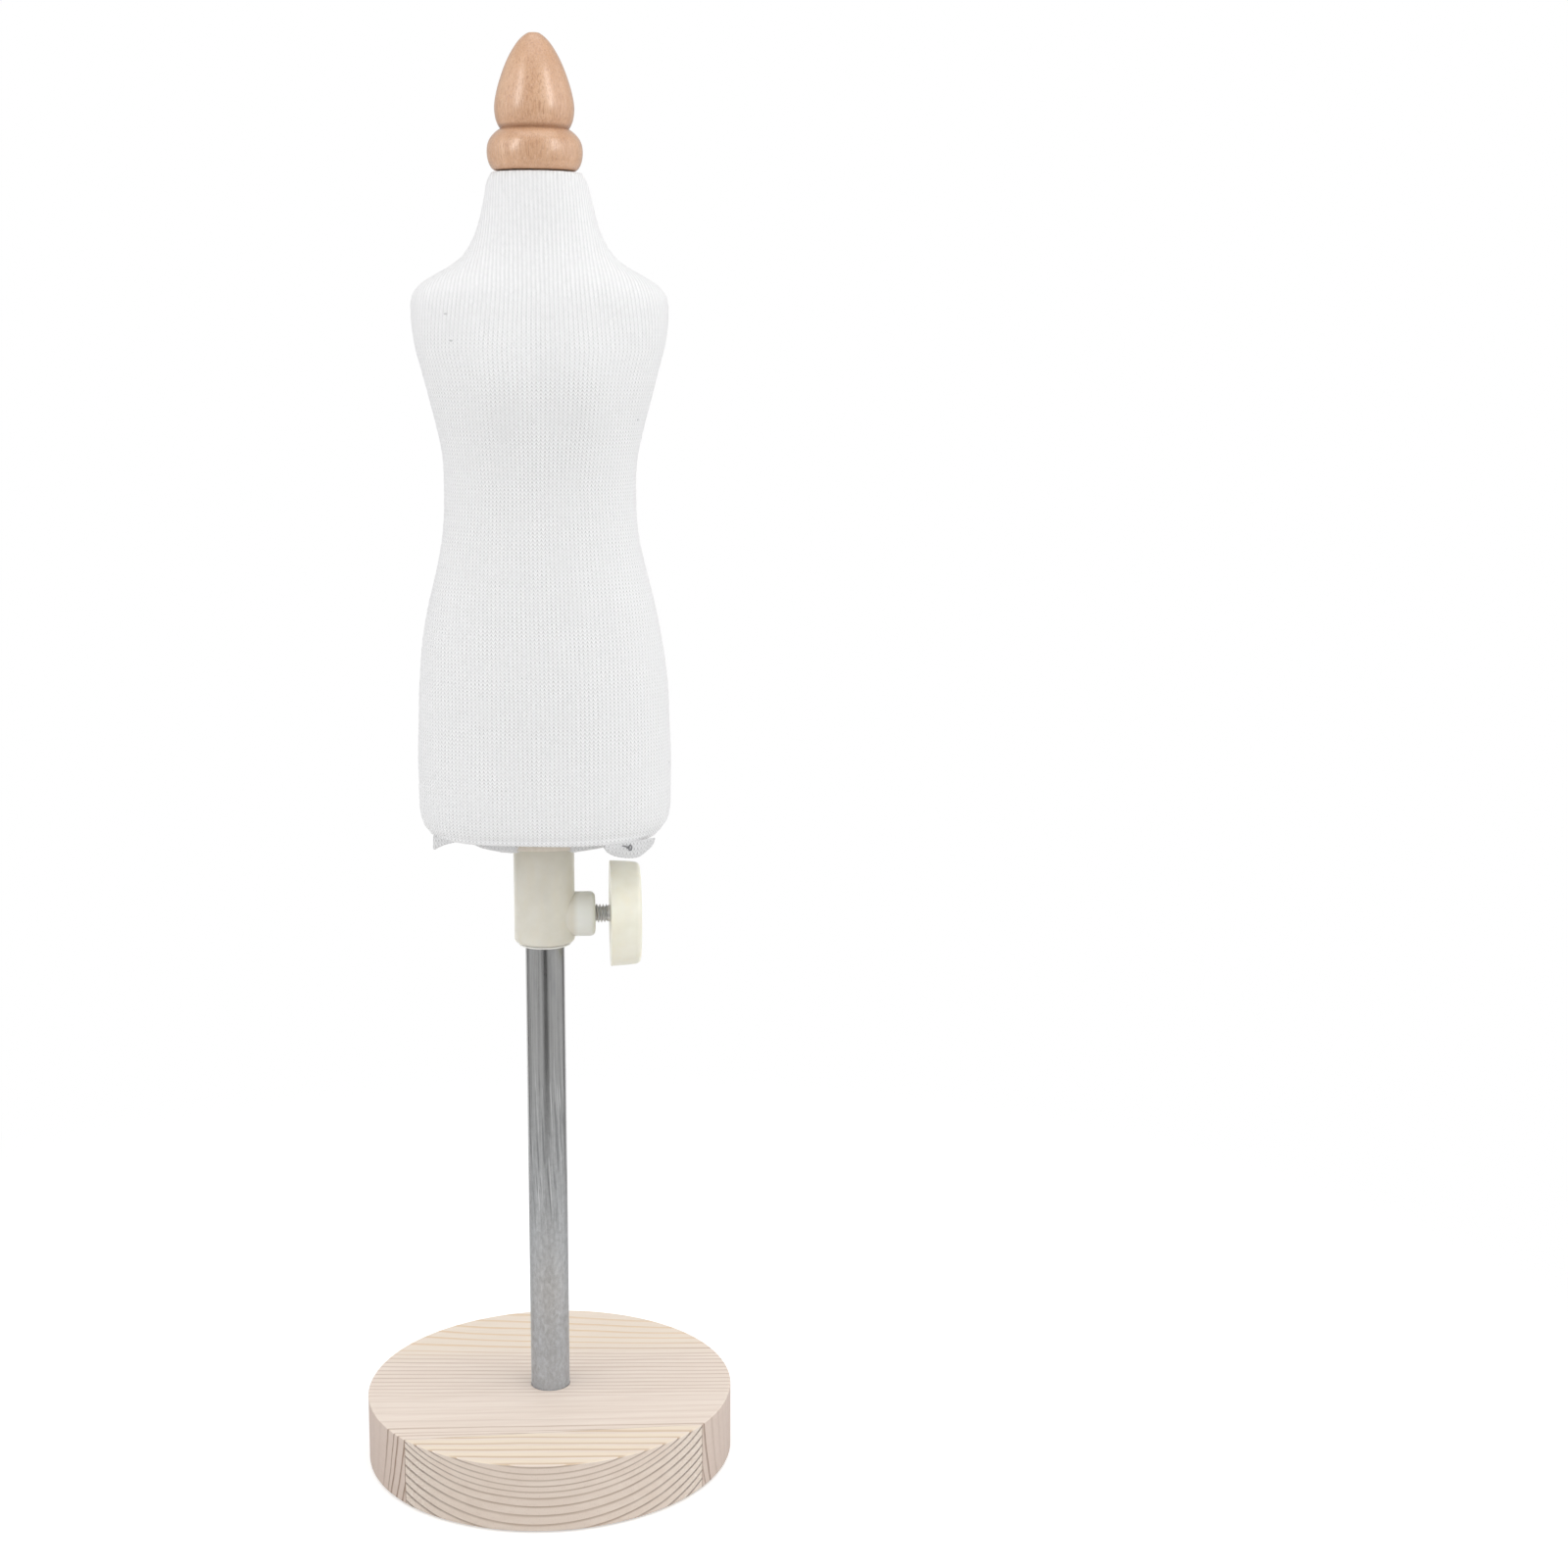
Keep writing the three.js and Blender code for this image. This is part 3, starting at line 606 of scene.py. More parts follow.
def mat_steel_tube():
    """Drawn steel tube: bright and streaked above, duller and speckled towards its foot."""
    mat = new_graph("steel_tube")
    x, y, z = mat.split(mat.millimetres())
    unroll_r = 6.35                  # radius that turns the angle into a length round the tube
    ink = SimpleNamespace(
        dark=(0.262, 0.261, 0.258), light=(0.425, 0.424, 0.420), cloud=(0.40, 0.40, 0.397),
        spangle=(0.60, 0.615, 0.63), foot_tint=(0.94, 1.01, 1.085), scuff=(0.20, 0.203, 0.206),
        shine=(0.78, 0.785, 0.79), dull=(0.27, 0.275, 0.28), dot=(0.16, 0.165, 0.17),
        scratch=(0.2, 0.2, 0.21))
    low = z.rise(150.0, 55.0)
    angle = mat.math("ARCTAN2", x, y * -1.0)
    skin = mat.join(angle * unroll_r, z)
    streak = mat.noise(skin, scale=(1.6, 0.012, 1.0), detail=4, rough=0.6)
    fine = mat.noise(skin, scale=(6.0, 0.06, 1.0), detail=3, rough=0.6)
    cloud = mat.noise(skin, scale=(0.22, 0.05, 1.0), detail=4, rough=0.6)
    spangle = mat.split(mat.voronoi(skin, scale=(0.9, 0.55, 1.0), out="Color"))[0]
    colour = mat.mix(ink.dark, ink.light, streak.rise(0.3, 0.7))
    colour = mat.mix(colour, ink.cloud, cloud.rise(0.35, 0.7) * 0.5)
    colour = mat.mix(colour, ink.spangle, low * spangle.linear(gain=0.25, base=0.62))
    colour = mat.mix(colour, mat.stretch(colour, ink.foot_tint), z.rise(62.0, 34.0))
    mottle = mat.noise(skin, scale=(0.85, 0.42, 1.0), detail=4, rough=0.78)
    mottle = mottle.rise(0.30, 0.70).linear(gain=0.26, base=0.86)
    colour = mat.scale(colour, low.linear(gain=0.8, base=0.2).lerp(1.0, mottle))
    # slanting scuffs and bright marks in a band low on the tube
    rub = z.rise(142.0, 118.0) * z.rise(66.0, 92.0)
    slant = mat.join(angle * unroll_r + z * 0.045, z)
    scuff = mat.noise(slant, scale=(1.05, 0.03, 1.0), detail=3, rough=0.65).rise(0.50, 0.62)
    colour = mat.mix(colour, ink.scuff, scuff * rub * 0.58)
    shine = mat.noise(slant, scale=(1.7, 0.035, 2.0)).rise(0.60, 0.68)
    colour = mat.mix(colour, ink.shine, shine * rub * 0.6)
    # long soft dull patches, dark specks and scratches round the tube
    dull = mat.noise(skin, scale=(0.35, 0.035, 1.0), detail=3, rough=0.6).rise(0.52, 0.72)
    colour = mat.mix(colour, ink.dull, dull * low.linear(gain=-0.35, base=0.5))
    dots = mat.noise(skin, scale=(1.8, 1.1, 1.0), detail=4, rough=0.75).rise(0.64, 0.73)
    colour = mat.mix(colour, ink.dot, dots * low.linear(gain=0.35, base=0.2))
    scratch = mat.noise(skin, scale=(0.5, 3.5, 1.0)).rise(0.70, 0.76)
    colour = mat.mix(colour, ink.scratch, scratch * 0.25)
    rough = low.linear(gain=0.16, base=0.20) + (streak * 0.10 + cloud * 0.08)
    height = fine * 0.6 + dots * -0.4
    return mat.material(color=colour, metal=1.0, rough=rough,
                        normal=mat.bump(height, strength=0.2, distance=0.00004))


def mat_zinc():
    """Zinc-plated screw steel."""
    mat = new_graph("zinc_steel")
    dark, light, grime = (0.66, 0.665, 0.67), (0.86, 0.865, 0.87), (0.16, 0.15, 0.14)
    place = mat.millimetres()
    cloud = mat.noise(place, scale=0.9, detail=4, rough=0.6)
    colour = mat.mix(dark, light, cloud)
    dirt = mat.noise(place, scale=2.4, detail=3, rough=0.7).rise(0.6, 0.75)
    colour = mat.mix(colour, grime, dirt * 0.35)
    return mat.material(
        color=colour, metal=1.0, rough=cloud.linear(gain=0.18, base=0.22),
        normal=mat.bump(mat.noise(place, scale=6.0, detail=3), strength=0.15, distance=0.00003))


def mat_ivory(name, painted_light_tint):
    """Moulded ivory plastic, faintly mottled, with a fine moulded skin."""
    mat = new_graph(name)
    place = mat.millimetres()
    ink = SimpleNamespace(
        base=(0.745, 0.725, 0.615), pale=(0.80, 0.785, 0.685), flow=(0.79, 0.745, 0.59),
        dust=(0.55, 0.5, 0.42), boss=(0.835, 0.84, 0.79))
    mottle = mat.noise(place, scale=0.11, detail=3, rough=0.55)
    flow = mat.noise(place, scale=(0.3, 0.3, 0.08), detail=3)
    colour = mat.mix(ink.base, ink.pale, mottle.rise(0.3, 0.7))
    colour = mat.mix(colour, ink.flow, flow.rise(0.45, 0.75) * 0.35)
    dust = mat.noise(place, scale=3.1).rise(0.72, 0.8)
    # the tint scales the whole colour: painted shade below 1, painted light above 1
    colour = mat.stretch(mat.mix(colour, ink.dust, dust * 0.12), painted_light_tint)
    # up to x = 20 painted shade from the torso above darkens the plastic towards the top; a
    # painted highlight makes a band over the boss paler
    x, _, z = mat.split(place)
    painted_shade_ramp = z.rise(208.0, 176.0).linear(gain=0.15, base=0.915)
    colour = mat.scale(colour, x.rise(19.5, 20.5).lerp(painted_shade_ramp, 1.0))
    colour = mat.mix(colour, ink.boss, x.rise(8.6, 11.0) * x.rise(19.5, 18.5))
    skin = mat.noise(place, scale=5.5, detail=3, rough=0.6)
    waves = mat.noise(place, scale=0.35)
    return mat.material(
        color=colour, rough=skin.linear(gain=0.12, base=0.34), spec=0.42,
        normal=mat.bump(skin * 0.2 + waves * 1.0, strength=0.25, distance=0.00008),
        sss=0.12, sss_radius=(1.0, 0.8, 0.5), sss_scale=0.0018)


def mat_simple(name, low, high, scale, rough, bump, metal=0.0, stretch=(1, 1, 1), dark=None):
    """Clouded colour between low and high, with optional dark specks."""
    mat = new_graph(name)
    place = mat.stretch(mat.millimetres(), stretch)
    cloud = mat.noise(place, scale=scale, detail=4, rough=0.6)
    grit = mat.noise(place, scale=scale * 7, detail=3, rough=0.65)
    colour = mat.mix(low, high, cloud.rise(0.3, 0.7))
    if dark is not None:
        colour = mat.mix(colour, dark, grit.rise(0.55, 0.75) * 0.5)
    return mat.material(color=colour, metal=metal, rough=grit.linear(gain=0.15, base=rough),
                        normal=mat.bump(grit, strength=bump, distance=0.0001))


def mat_foam():
    """Moulded foam: open pores under a thin skin."""
    mat = new_graph("moulded_foam")
    dark, light, pore_ink = (0.80, 0.775, 0.70), (0.86, 0.845, 0.79), (0.55, 0.52, 0.45)
    place = mat.millimetres()
    pore = mat.voronoi(place, scale=1.5).rise(0.34, 0.08)
    colour = mat.mix(dark, light, mat.noise(place, scale=0.1, detail=3))
    colour = mat.mix(colour, pore_ink, pore * 0.35)
    height = mat.noise(place, scale=4.0) * 0.3 - pore
    return mat.material(color=colour, rough=0.9, spec=0.2,
                        normal=mat.bump(height, strength=0.5, distance=0.0002))


KNIT = mat_knit()
PINE = mat_pine()
BEECH = mat_beech()
TUBE = mat_steel_tube()
ZINC = mat_zinc()
# one plastic in two copies: the collar's is darkened as painted shade, the knob's brightened as
# painted light
IVORY_SHADED = mat_ivory("ivory_plastic", painted_light_tint=(0.90, 0.885, 0.90))
IVORY_KNOB_LIT = mat_ivory("ivory_plastic_knob_lit", painted_light_tint=(1.17, 1.17, 1.16))
FOAM = mat_foam()
WIRE = mat_simple("pin_wire", (0.10, 0.10, 0.105), (0.34, 0.34, 0.35),
                  scale=0.9, rough=0.28, bump=0.2, metal=1.0)
NYLON = mat_simple("nylon_natural", (0.83, 0.82, 0.77), (0.88, 0.87, 0.83),
                   scale=0.3, rough=0.38, bump=0.15)
BRASS = mat_simple("brass_insert", (0.52, 0.36, 0.13), (0.72, 0.53, 0.22),
                   scale=0.8, rough=0.22, bump=0.2, metal=1.0)
BOARD = mat_simple("fibreboard", (0.78, 0.70, 0.60), (0.84, 0.77, 0.67),
                   scale=0.5, rough=0.72, bump=0.4, dark=(0.62, 0.52, 0.41))
CARD = mat_simple("grey_card", (0.40, 0.29, 0.19), (0.50, 0.37, 0.25),
                  scale=0.6, rough=0.78, bump=0.4, dark=(0.30, 0.21, 0.13))
CAP = mat_simple("black_cap", (0.018, 0.018, 0.019), (0.03, 0.03, 0.031),
                 scale=0.6, rough=0.42, bump=0.2)
DOWEL = mat_simple("dowel_wood", (0.50, 0.28, 0.15), (0.62, 0.37, 0.21), scale=0.4, rough=0.55,
                   bump=0.3, stretch=(4, 4, 0.3), dark=(0.33, 0.16, 0.08))

# ------------------------------------------------------------------ torso surface
# height, half width, front depth, back depth, exponent of the rounded plan (2 = ellipse)
TORSO = np.array([
    [207.0, 38.6, 26.0, 28.0, 2.25], [214.0, 39.4, 26.6, 28.8, 2.25],
    [222.0, 39.8, 27.0, 29.4, 2.25], [232.0, 39.8, 26.8, 29.8, 2.2],
    [245.0, 39.3, 26.3, 29.6, 2.2], [258.0, 38.7, 25.7, 28.6, 2.2],
    [270.0, 37.4, 24.9, 26.8, 2.15], [282.0, 35.3, 24.0, 24.6, 2.15],
    [292.0, 32.9, 23.0, 22.4, 2.1], [302.0, 30.8, 22.0, 20.6, 2.1],
    [312.0, 29.7, 21.5, 19.6, 2.1], [320.0, 29.6, 21.6, 19.6, 2.1],
    [328.0, 30.0, 22.2, 20.4, 2.1], [337.0, 31.8, 23.2, 21.8, 2.1],
    [346.0, 34.1, 24.2, 23.4, 2.15], [355.0, 36.3, 24.8, 24.8, 2.2],
    [363.0, 38.2, 24.6, 25.4, 2.25], [369.0, 39.1, 23.8, 25.2, 2.3],
    [374.5, 39.3, 22.8, 24.6, 2.3], [377.3, 38.7, 22.0, 24.0, 2.3],
    [379.6, 37.3, 21.3, 23.3, 2.25], [382.0, 34.4, 20.4, 22.3, 2.15],
    [384.3, 30.4, 19.5, 21.2, 2.05], [386.7, 26.3, 18.6, 20.0, 2.0],
    [389.0, 23.4, 17.8, 18.9, 2.0], [391.4, 21.5, 17.1, 18.0, 2.0],
    [394.0, 20.0, 16.5, 17.2, 2.0], [398.0, 18.3, 15.8, 16.3, 2.0],
    [403.0, 16.9, 15.1, 15.5, 2.0], [408.0, 15.8, 14.4, 14.7, 2.0],
    [412.0, 14.7, 13.7, 13.9, 2.0], [414.1, 13.6, 12.9, 13.1, 2.0],
])
# height, sideways shift of the plan towards +X
TORSO_SHIFT = np.array([
    (205, 0.75), (240, 0.8), (262, 0.85), (300, 0.4), (322, 0.35), (350, 0.9), (378, 1.05),
    (400, 0.8), (415, 0.4)])


def smooth_column(column):
    """Cubic curve against height through one column of TORSO, without overshoot."""
    x, y = TORSO[:, 0], TORSO[:, column]
    gap = np.diff(x)
    slope = np.diff(y) / gap
    tangent = np.zeros(len(x))
    before, after = slope[:-1], slope[1:]
    mid = (before * gap[1:] + after * gap[:-1]) / (gap[1:] + gap[:-1])
    limit = 2.6 * np.minimum(np.abs(before), np.abs(after))
    limited = np.sign(mid) * np.minimum(np.abs(mid), limit)
    tangent[1:-1] = np.where(before * after > 0, limited, 0)
    tangent[0], tangent[-1] = slope[0], slope[-1]

    def value(height):
        at = np.clip(np.asarray(height, float), x[0], x[-1])
        i = np.clip(np.searchsorted(x, at, side="right") - 1, 0, len(x) - 2)
        span = x[i + 1] - x[i]
        u = (at - x[i]) / span
        return ((1 + 2 * u) * (1 - u) ** 2 * y[i] + u * (1 - u) ** 2 * span * tangent[i]
                + u * u * (3 - 2 * u) * y[i + 1] + u * u * (u - 1) * span * tangent[i + 1])
    return value


half_width, front_depth, back_depth, roundness = (smooth_column(c) for c in (1, 2, 3, 4))


def bell(value, centre, width):
    return np.exp(-(((value - centre) / width) ** 2))


def relief(x, z, front):
    """Extra depth: bust and belly at the front, shoulder blades and seat at the back."""
    off = np.abs(x)
    bust = 3.5 * bell(off, 14.2, 9.5) * bell(z, 350, 14)
    belly = 1.2 * bell(x, 0, 18) * bell(z, 262, 26)
    blades = 1.8 * bell(off, 15, 9) * bell(z, 362, 15)
    seat = 2.2 * bell(off, 15, 12) * bell(z, 238, 20)
    return np.where(front, bust + belly, blades + seat)


def torso_xy(angle, z):
    """Plan position on the torso's skin; angle 0 is +X and -90 degrees is the front."""
    angle, z = np.broadcast_arrays(np.asarray(angle, float), np.asarray(z, float))
    power = 2 / roundness(z)
    cos, sin = np.cos(angle), np.sin(angle)
    x = half_width(z) * np.sign(cos) * np.abs(cos) ** power
    side = np.sign(sin) * np.abs(sin) ** power
    depth = np.where(sin < 0, front_depth(z), back_depth(z)) + relief(x, z, sin < 0) * np.abs(sin)
    return x + np.interp(z, TORSO_SHIFT[:, 0], TORSO_SHIFT[:, 1]), side * depth


def skin_point(angle, z, inset):
    """Plan position on the skin, moved towards the axis by inset."""
    x, y = torso_xy(angle, z)
    radius = np.hypot(x, y)
    shrink = (radius - inset) / radius
    return x * shrink, y * shrink


# ------------------------------------------------------------------ knit cover
PITCH_U, PITCH_V = 1.36, 1.17          # one stitch of the jersey, across and up
PANEL = 128                            # columns in each of the two panels, back then front
COLUMNS = 2 * PANEL
HEM_TOP = 219.6                        # where the body ends and the hem begins
HEM_DOWN_ROWS, HEM_ROWS = 26, 62       # rows to the hem's lowest line, and in all
# height and inset of the rounded rim at the neck
NECK_RIM = [(413.35, 3.3), (413.75, 2.9), (414.0, 2.3), (414.12, 1.5), (414.1, 0.8),
            (414.02, 0.3)]
BODY_Z = np.concatenate([np.linspace(413.9, 376, 62), np.linspace(375.2, HEM_TOP, 146)])
BODY_ROWS = len(NECK_RIM) + len(BODY_Z)
# height, sideways stretch of the stitches
STRETCH = np.array([
    (207, 0.99), (240, 1.0), (270, 1.0), (295, 0.95), (320, 0.885), (340, 0.97), (361, 1.06),
    (380, 0.96), (398, 0.95), (414.5, 0.93)])


def panel_angles():
    """Angles of the columns, closer together at the two side seams."""
    squeeze = 0.62
    even = np.arange(PANEL) / PANEL
    share = even - squeeze * np.sin(2 * np.pi * even) / (2 * np.pi)
    fine = np.linspace(0, math.pi, 3001)
    out = []
    for start in (0.0, math.pi):
        x, y = torso_xy(fine + start, 300.0)
        arc = np.concatenate([[0], np.cumsum(np.hypot(np.diff(x), np.diff(y)))])
        out.append(np.interp(share * arc[-1], arc, fine) + start)
    return np.concatenate(out)


def hem_column(angle, lowest, plate_r, open_front, turn_in, facing):
    """(radius, z) down one column of the hem, and the radius at its lowest line.

    facing is 1 at the front, where the hem is tighter. open_front is 1 where the cloth is
    only tucked up inside instead of being drawn over the bottom plate.
    """
    top_r = math.hypot(*map(float, torso_xy(angle, HEM_TOP)))
    # inset from the body, height
    loose = np.array([(0.02, 219.0), (0.3, 216.6), (1.0, 214.1), (1.75, 212.9), (2.6, 211.9),
                      (3.0, 211.2), (3.7, 210.6), (4.5, lowest + 0.12), (5.2, lowest)])
    tight = np.array([(0.05, 219.0), (0.2, 216.6), (0.55, 214.1), (0.95, 212.9), (1.5, 212.0),
                      (1.35, 211.2), (1.55, 210.6), (2.1, lowest + 0.15), (2.9, lowest)])
    down = facing * tight + (1 - facing) * loose
    down[:, 0] = top_r - down[:, 0]
    hem_r = down[-1, 0]
    rim = plate_r + 0.85
    under = np.array([
        (hem_r - 0.9, lowest + 0.1), ((hem_r + rim) / 2 + 0.4, lowest + 0.08),
        (rim + 0.95, lowest - 0.15), (rim + 0.45, PLATE_Z0 + 1.3), (rim + 0.3, PLATE_Z0 + 0.15),
        (rim - 0.35, PLATE_Z0 - 0.35), (rim - 1.5, PLATE_Z0 - 0.85),
        (rim - turn_in * 0.5, PLATE_Z0 - 0.88), (rim - turn_in, PLATE_Z0 - 0.84)])
    # inset from and height over the lowest line
    tuck = [(0.45, 0.1), (0.8, 0.4), (0.95, 0.7), (1.0, 0.9), (1.02, 1.05), (1.03, 1.2),
            (1.04, 1.3), (1.05, 1.4), (1.06, 1.5)]
    tucked = np.array([(hem_r - inset, lowest + height) for inset, height in tuck])
    drawn = 1 - open_front
    turned = drawn * under + (1 - drawn) * tucked
    path = np.vstack([
        spline(down, HEM_DOWN_ROWS + 1)[1:],
        spline(np.vstack([down[-1:], turned]), HEM_ROWS - HEM_DOWN_ROWS + 1)[1:]])
    return path, hem_r


def hem_grid(angles):
    """Points of the hem, the radius of its lowest line, and how open each column is."""
    x, y = torso_xy(angles, 212.0)
    bearing = np.arctan2(y, x)
    cos, sin = np.cos(bearing), np.sin(bearing)
    lowest = (209.95 - 0.011 * x + 0.13 * np.sin(3 * angles + 0.6)
              + 0.08 * np.sin(7 * angles + 2.1))
    plate_r = PLATE_A * PLATE_B / np.hypot(PLATE_B * cos, PLATE_A * sin)
    gap = smoothstep(-12.6, -8.2, x) * (1 - smoothstep(8.6, 13.0, x))
    open_front = np.where(y < 0, gap, 0.0)
    turn_in = (6.6 + 0.9 * np.sin(5 * angles) + 0.5 * np.sin(11 * angles + 1)
               + 0.35 * np.sin(23 * angles))
    facing = smoothstep(0.25, 0.85, -sin)
    columns = [hem_column(*values)
               for values in zip(angles, lowest, plate_r, open_front, turn_in, facing)]
    radius, z = np.stack([path for path, _ in columns], axis=1).transpose(2, 0, 1)
    hem_r = np.array([column[1] for column in columns])
    return np.stack([radius * cos, radius * sin, z], 2), hem_r, open_front


def cloth_gathers():
    """Narrow random folds round the hem, averaging to zero."""
    rng = np.random.default_rng(12)
    angles = panel_angles()
    gather = np.zeros(COLUMNS)
    for _ in range(26):
        centre, width = rng.uniform(0, TURN), rng.uniform(0.03, 0.085)
        away = (angles - centre + math.pi) % TURN - math.pi
        gather += rng.uniform(0.35, 1.0) * np.exp(-(away / width) ** 2)
    return gather - gather.mean()


def crumple(points, angles, outward, seam_gap, open_front):
    """Moves the cloth in place: unevenness, puckers at hem and neck, and the side seams."""
    z = points[..., 2]
    row = np.arange(len(points))[:, None]
    on_body = smoothstep(209.5, 215, z) * smoothstep(414.1, 411, z)
    uneven = (0.14 * wave_noise(points * [1, 1, 0.7], 3)
              + 0.06 * wave_noise(points * [1.6, 1.6, 0.5], 5, shortest=9, longest=18))
    gather = cloth_gathers()
    near_hem = smoothstep(222, 211, z) * smoothstep(BODY_ROWS + 24, BODY_ROWS + 12, row) * 0.20
    near_neck = smoothstep(405, 413.5, z) * 0.2
    neck_gather = 0.5 * np.sin(17 * angles + 0.4) + 0.5 * np.sin(29 * angles + 2.0)
    ripple = np.sin(z * 2 * math.pi / 3.3 + 1.2 * np.sin(z / 9))
    pucker = 1 + 0.35 * ripple * smoothstep(6, 1, seam_gap)
    seam = (-0.34 * np.exp(-(seam_gap / 0.5) ** 2)
            + 0.13 * np.exp(-((seam_gap - 1.5) / 0.75) ** 2) * pucker)
    shift = (uneven * on_body + gather * near_hem + neck_gather * near_neck + seam * on_body)
    points += outward * shift[..., None]
    # the folds also hang below the flat turned-under part
    flat = smoothstep(BODY_ROWS + 38, BODY_ROWS + 46, row) * (1 - open_front)
    points[..., 2] -= flat * np.clip(gather, 0, 1) * 0.3


def stitch_uv(points, around):
    """UV corners of the cloth's outer face, counted in stitches from each panel's middle."""
    back_mid, front_mid = PANEL // 2, PANEL + PANEL // 2
    steps = np.linalg.norm(np.diff(points, axis=0), axis=2)
    down = np.concatenate([np.zeros((1, COLUMNS)), np.cumsum(steps, axis=0)], axis=0)
    v = down.mean(axis=1) / PITCH_V
    stretch = np.interp(points[..., 2].mean(axis=1), STRETCH[:, 0], STRETCH[:, 1])
    stitch = PITCH_U * stretch[:, None]
    u_front = (around - around[:, front_mid:front_mid + 1]) / stitch
    u_back = 400.0 + (around - around[:, back_mid:back_mid + 1]) / stitch
    uv = []
    for k in range(len(points) - 1):
        for j in range(COLUMNS):
            u = u_back if j < PANEL else u_front
            uv.extend([(u[k, j], v[k]), (u[k, j + 1], v[k]),
                       (u[k + 1, j + 1], v[k + 1]), (u[k + 1, j], v[k + 1])])
    return uv


def inner_face(points, outward, rows_kept):
    """The cloth's inner face, 0.8 mm in, on fewer rows."""
    along = np.roll(points, -1, axis=1) - np.roll(points, 1, axis=1)
    normal = np.cross(along, np.gradient(points, axis=0))
    normal /= np.linalg.norm(normal, axis=2)[..., None] + 1e-12
    if (normal[100] * outward[100]).sum() < 0:
        normal = -normal
    return (points - normal * 0.8)[rows_kept].reshape(-1, 3)


def hem_shading(points, hem_r):
    """Darkening of the turned-under cloth, strongest in the crease behind the hem."""
    row = np.arange(len(points))[:, None]
    lowest = BODY_ROWS + HEM_DOWN_ROWS
    radius = np.hypot(points[..., 0], points[..., 1])
    under = smoothstep(lowest - 1.5, lowest + 1.5, row) * np.ones_like(radius)
    crease = under * smoothstep(hem_r - 2.6, hem_r - 0.9, radius)
    return np.clip(0.15 * under + 0.30 * crease, 0, 1)


def point_attribute(ob, name, outer, rest):
    """Float attribute with the outer face's values first and rest on all other points."""
    values = np.full(len(ob.data.vertices), rest, np.float32)
    values[:outer.size] = outer.reshape(-1)
    ob.data.attributes.new(name, "FLOAT", "POINT").data.foreach_set("value", values)


def build_cover():
    angles = panel_angles()
    rim_z, rim_inset = zip(*NECK_RIM)
    z = np.repeat(np.concatenate([rim_z, BODY_Z])[:, None], COLUMNS, axis=1)
    inset = np.concatenate([rim_inset, np.zeros(len(BODY_Z))])[:, None]
    x, y = skin_point(angles[None, :], z, inset)
    hem, hem_r, open_front = hem_grid(angles)
    points = np.concatenate([np.stack([x, y, z], 2), hem], 0)
    rows = len(points)

    outward = points * [1, 1, 0]
    outward /= np.linalg.norm(outward, axis=2)[..., None]
    steps = np.linalg.norm(np.roll(points, -1, axis=1) - points, axis=2)
    around = np.concatenate([np.zeros((rows, 1)), np.cumsum(steps, axis=1)], axis=1)
    here = around[:, :COLUMNS]
    seam_gap = np.minimum(np.minimum(here, around[:, -1:] - here),
                          np.abs(here - around[:, PANEL:PANEL + 1]))
    crumple(points, angles, outward, seam_gap, open_front)

    kept = sorted({*range(8), *range(8, BODY_ROWS, 7), *range(BODY_ROWS, rows, 2), rows - 1})
    base = rows * COLUMNS
    verts = np.vstack([points.reshape(-1, 3), inner_face(points, outward, kept)])
    inner = grid_faces(len(kept), COLUMNS, base=base, flip=True)
    faces = grid_faces(rows, COLUMNS) + inner
    uv = stitch_uv(points, around)
    uv += [(0.37 * (q % 4), 0.61 * (q // 4)) for q in range(4 * len(inner))]
    # close the cloth's two raw edges
    outer_end, inner_end = (rows - 1) * COLUMNS, base + (len(kept) - 1) * COLUMNS
    for j in range(COLUMNS):
        i = (j + 1) % COLUMNS
        faces.append((i, j, base + j, base + i))
        faces.append((outer_end + j, outer_end + i, inner_end + i, inner_end + j))
        uv += [(0.0, 0.0), (0.6, 0.0), (0.6, 0.6), (0.0, 0.6)] * 2
    ob = new_mesh("knit_cover_cloth", verts, faces, sharp_deg=70, uv=uv)
    point_attribute(ob, "hem_shade", hem_shading(points, hem_r), rest=0.0)
    point_attribute(ob, "seam_mm", seam_gap, rest=50.0)
    dress(ob, KNIT, "form", "knit_cover")


